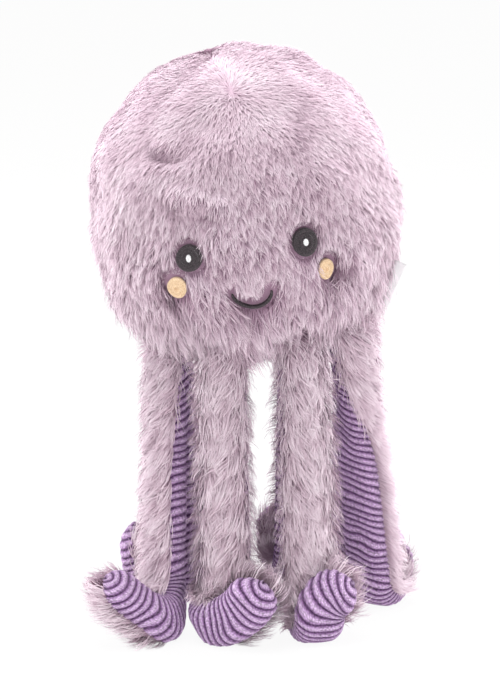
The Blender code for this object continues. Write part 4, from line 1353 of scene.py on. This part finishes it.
def knit_strip(line):
    """The knit: a skin over half of the tube, squarer than it, and raised into ribs by
    rise * |sin(pi * rib)|^power. The ribs slant and wander a little across the strip."""
    along, walked = rib_rows(line)
    angle = np.linspace(0.0, math.pi, KNIT_COLUMNS)
    along_grid, angle_grid = np.meshgrid(along, angle, indexing="ij")
    surface, _, _ = on_arm(line, along_grid, angle_grid, 0.0)
    wander, _ = waves(surface, RIB_WANDER_SPACING, RIB_SEED)
    slanted = RIB_SLANT * np.cos(angle)
    rib = walked[:, None] / RIB_SPACING + slanted + RIB_BOW * np.sin(angle) + RIB_WANDER * wander
    ridge = RIB_RISE * np.abs(np.sin(math.pi * rib)) ** RIB_POWER - RIB_VALLEY
    squared = KNIT_SQUARENESS * np.sin(2.0 * angle) ** 2
    outer, _, _ = on_arm(line, along_grid, angle_grid, ridge + squared)
    inner, _, _ = on_arm(line, along_grid, angle_grid, -KNIT_THICKNESS)
    u = np.broadcast_to(np.linspace(0.0, 1.0, KNIT_COLUMNS), rib.shape)
    v = (rib + 1.0) * RIB_SPACING / KNIT_CHART_LENGTH
    return shell(on_floor(outer), on_floor(inner), np.stack((u, v), axis=-1))


def fur_strip(line, seed):
    """The fur: its backing over the other half of the tube, and pile combed down it and in from both
    seams."""
    along = np.linspace(-ROOT_HALF_DEPTH, arm_length, ARM_BACKING_ROWS)
    angle = np.linspace(math.pi, 2.0 * math.pi, ARM_BACKING_COLUMNS)
    along_grid, angle_grid = np.meshgrid(along, angle, indexing="ij")
    outer, _, _ = on_arm(line, along_grid, angle_grid, 0.0)
    inner, _, _ = on_arm(line, along_grid, angle_grid, -KNIT_THICKNESS)
    strip = backing(on_floor(outer), on_floor(inner), BACKING_TONE, BACKING_SHADE)
    chance = np.random.default_rng(seed)
    along = chance.uniform(-ROOT_HALF_DEPTH * ROOT_GROWTH, arm_length - TIP_BARE, STRANDS_PER_ARM)
    overhang = math.radians(SEAM_OVERHANG_DEG)
    angle = chance.uniform(math.pi - overhang, 2.0 * math.pi + overhang, STRANDS_PER_ARM)
    end = arm_length - TIP_ROUNDING
    narrowing = 1.0 - np.clip((along - end) / TIP_ROUNDING, 0.0, 1.0) ** 2
    grows = chance.uniform(0.0, 1.0, STRANDS_PER_ARM) < np.sqrt(narrowing) + TIP_GROWTH
    along, angle = along[grows], angle[grows]
    roots, normals, axes_here = on_arm(line, along, angle, 0.0)
    around = axes_here[..., 1] * np.cos(angle)[:, None] - axes_here[..., 0] * np.sin(angle)[:, None]
    nap = -axes_here[..., 2] - around * (ARM_NAP_INWARD * np.tanh(ARM_NAP_TURN * np.cos(angle)))[:, None]
    nap = unit(nap - dots(nap, normals) * normals)
    patchy, _ = waves(roots, ARM_PATCH_SPACING, ARM_PATCH_SEED)
    tone = ARM_TONE + ARM_PATCH_TONE * patchy + chance.normal(size=len(roots)) * ARM_STRAND_TONE
    inside = np.abs(np.cos(angle)) ** SEAM_POWER
    size = 1.0 - (1.0 - SEAM_PILE_REACH) * inside
    points, triangles, tones, lit = pile(
        roots, normals, nap, np.full(len(roots), ARM_PILE_RISE), ARM_PILE_REACH * size, PILE_WIDTH, tone,
        # painted light: the pile starts paler towards the feet
        np.interp(along / arm_length, *ARM_LIT_BASE_BY_LENGTH),
        seed + ARM_PILE_SEED_STEP, ((ARM_LOCK_SPACING, 1.0),),
    )
    return strip, (on_floor(points), triangles, tones, lit)


def arm_filling(line):
    """The fibre inside: the same tube, smaller, with soft lumps."""
    along = np.linspace(-ROOT_HALF_DEPTH, arm_length, FILLING_ALONG)
    angle = np.linspace(0.0, 2.0 * math.pi, FILLING_AROUND + 1)
    along_grid, angle_grid = np.meshgrid(along, angle, indexing="ij")
    points, normals, _ = on_arm(line, along_grid, angle_grid, -ARM_FILLING_INSET)
    return closed_surface(lumpy(points, normals))


knit = chunky_rib_knit()
roots = {name: pivots[f"arm_{name}"] for name, *_ in ARMS}
arm_length = sum(root[2] for root in roots.values()) / len(roots) + CURL_SURPLUS
for k, (name, azimuth, lean_out, lean_side, twist, turns) in enumerate(ARMS):
    line = arm_line(azimuth, lean_out, lean_side, twist, turns, roots[name])
    made = (
        ("rib", "purple_rib_knit", new_piece(f"arm_{name}_knit", knit, knit_strip(line))),
        ("fur", "lilac_fur", new_piece(f"arm_{name}_pile", fur, *fur_strip(line, ARM_SEED + k))),
        ("stuffing", "polyester_fibre", new_piece(f"arm_{name}_filling", fibre, arm_filling(line))),
    )
    for node, slot, piece in made:
        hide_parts(f"arm_{name}_{node}")
        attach(piece, f"arm_{name}")
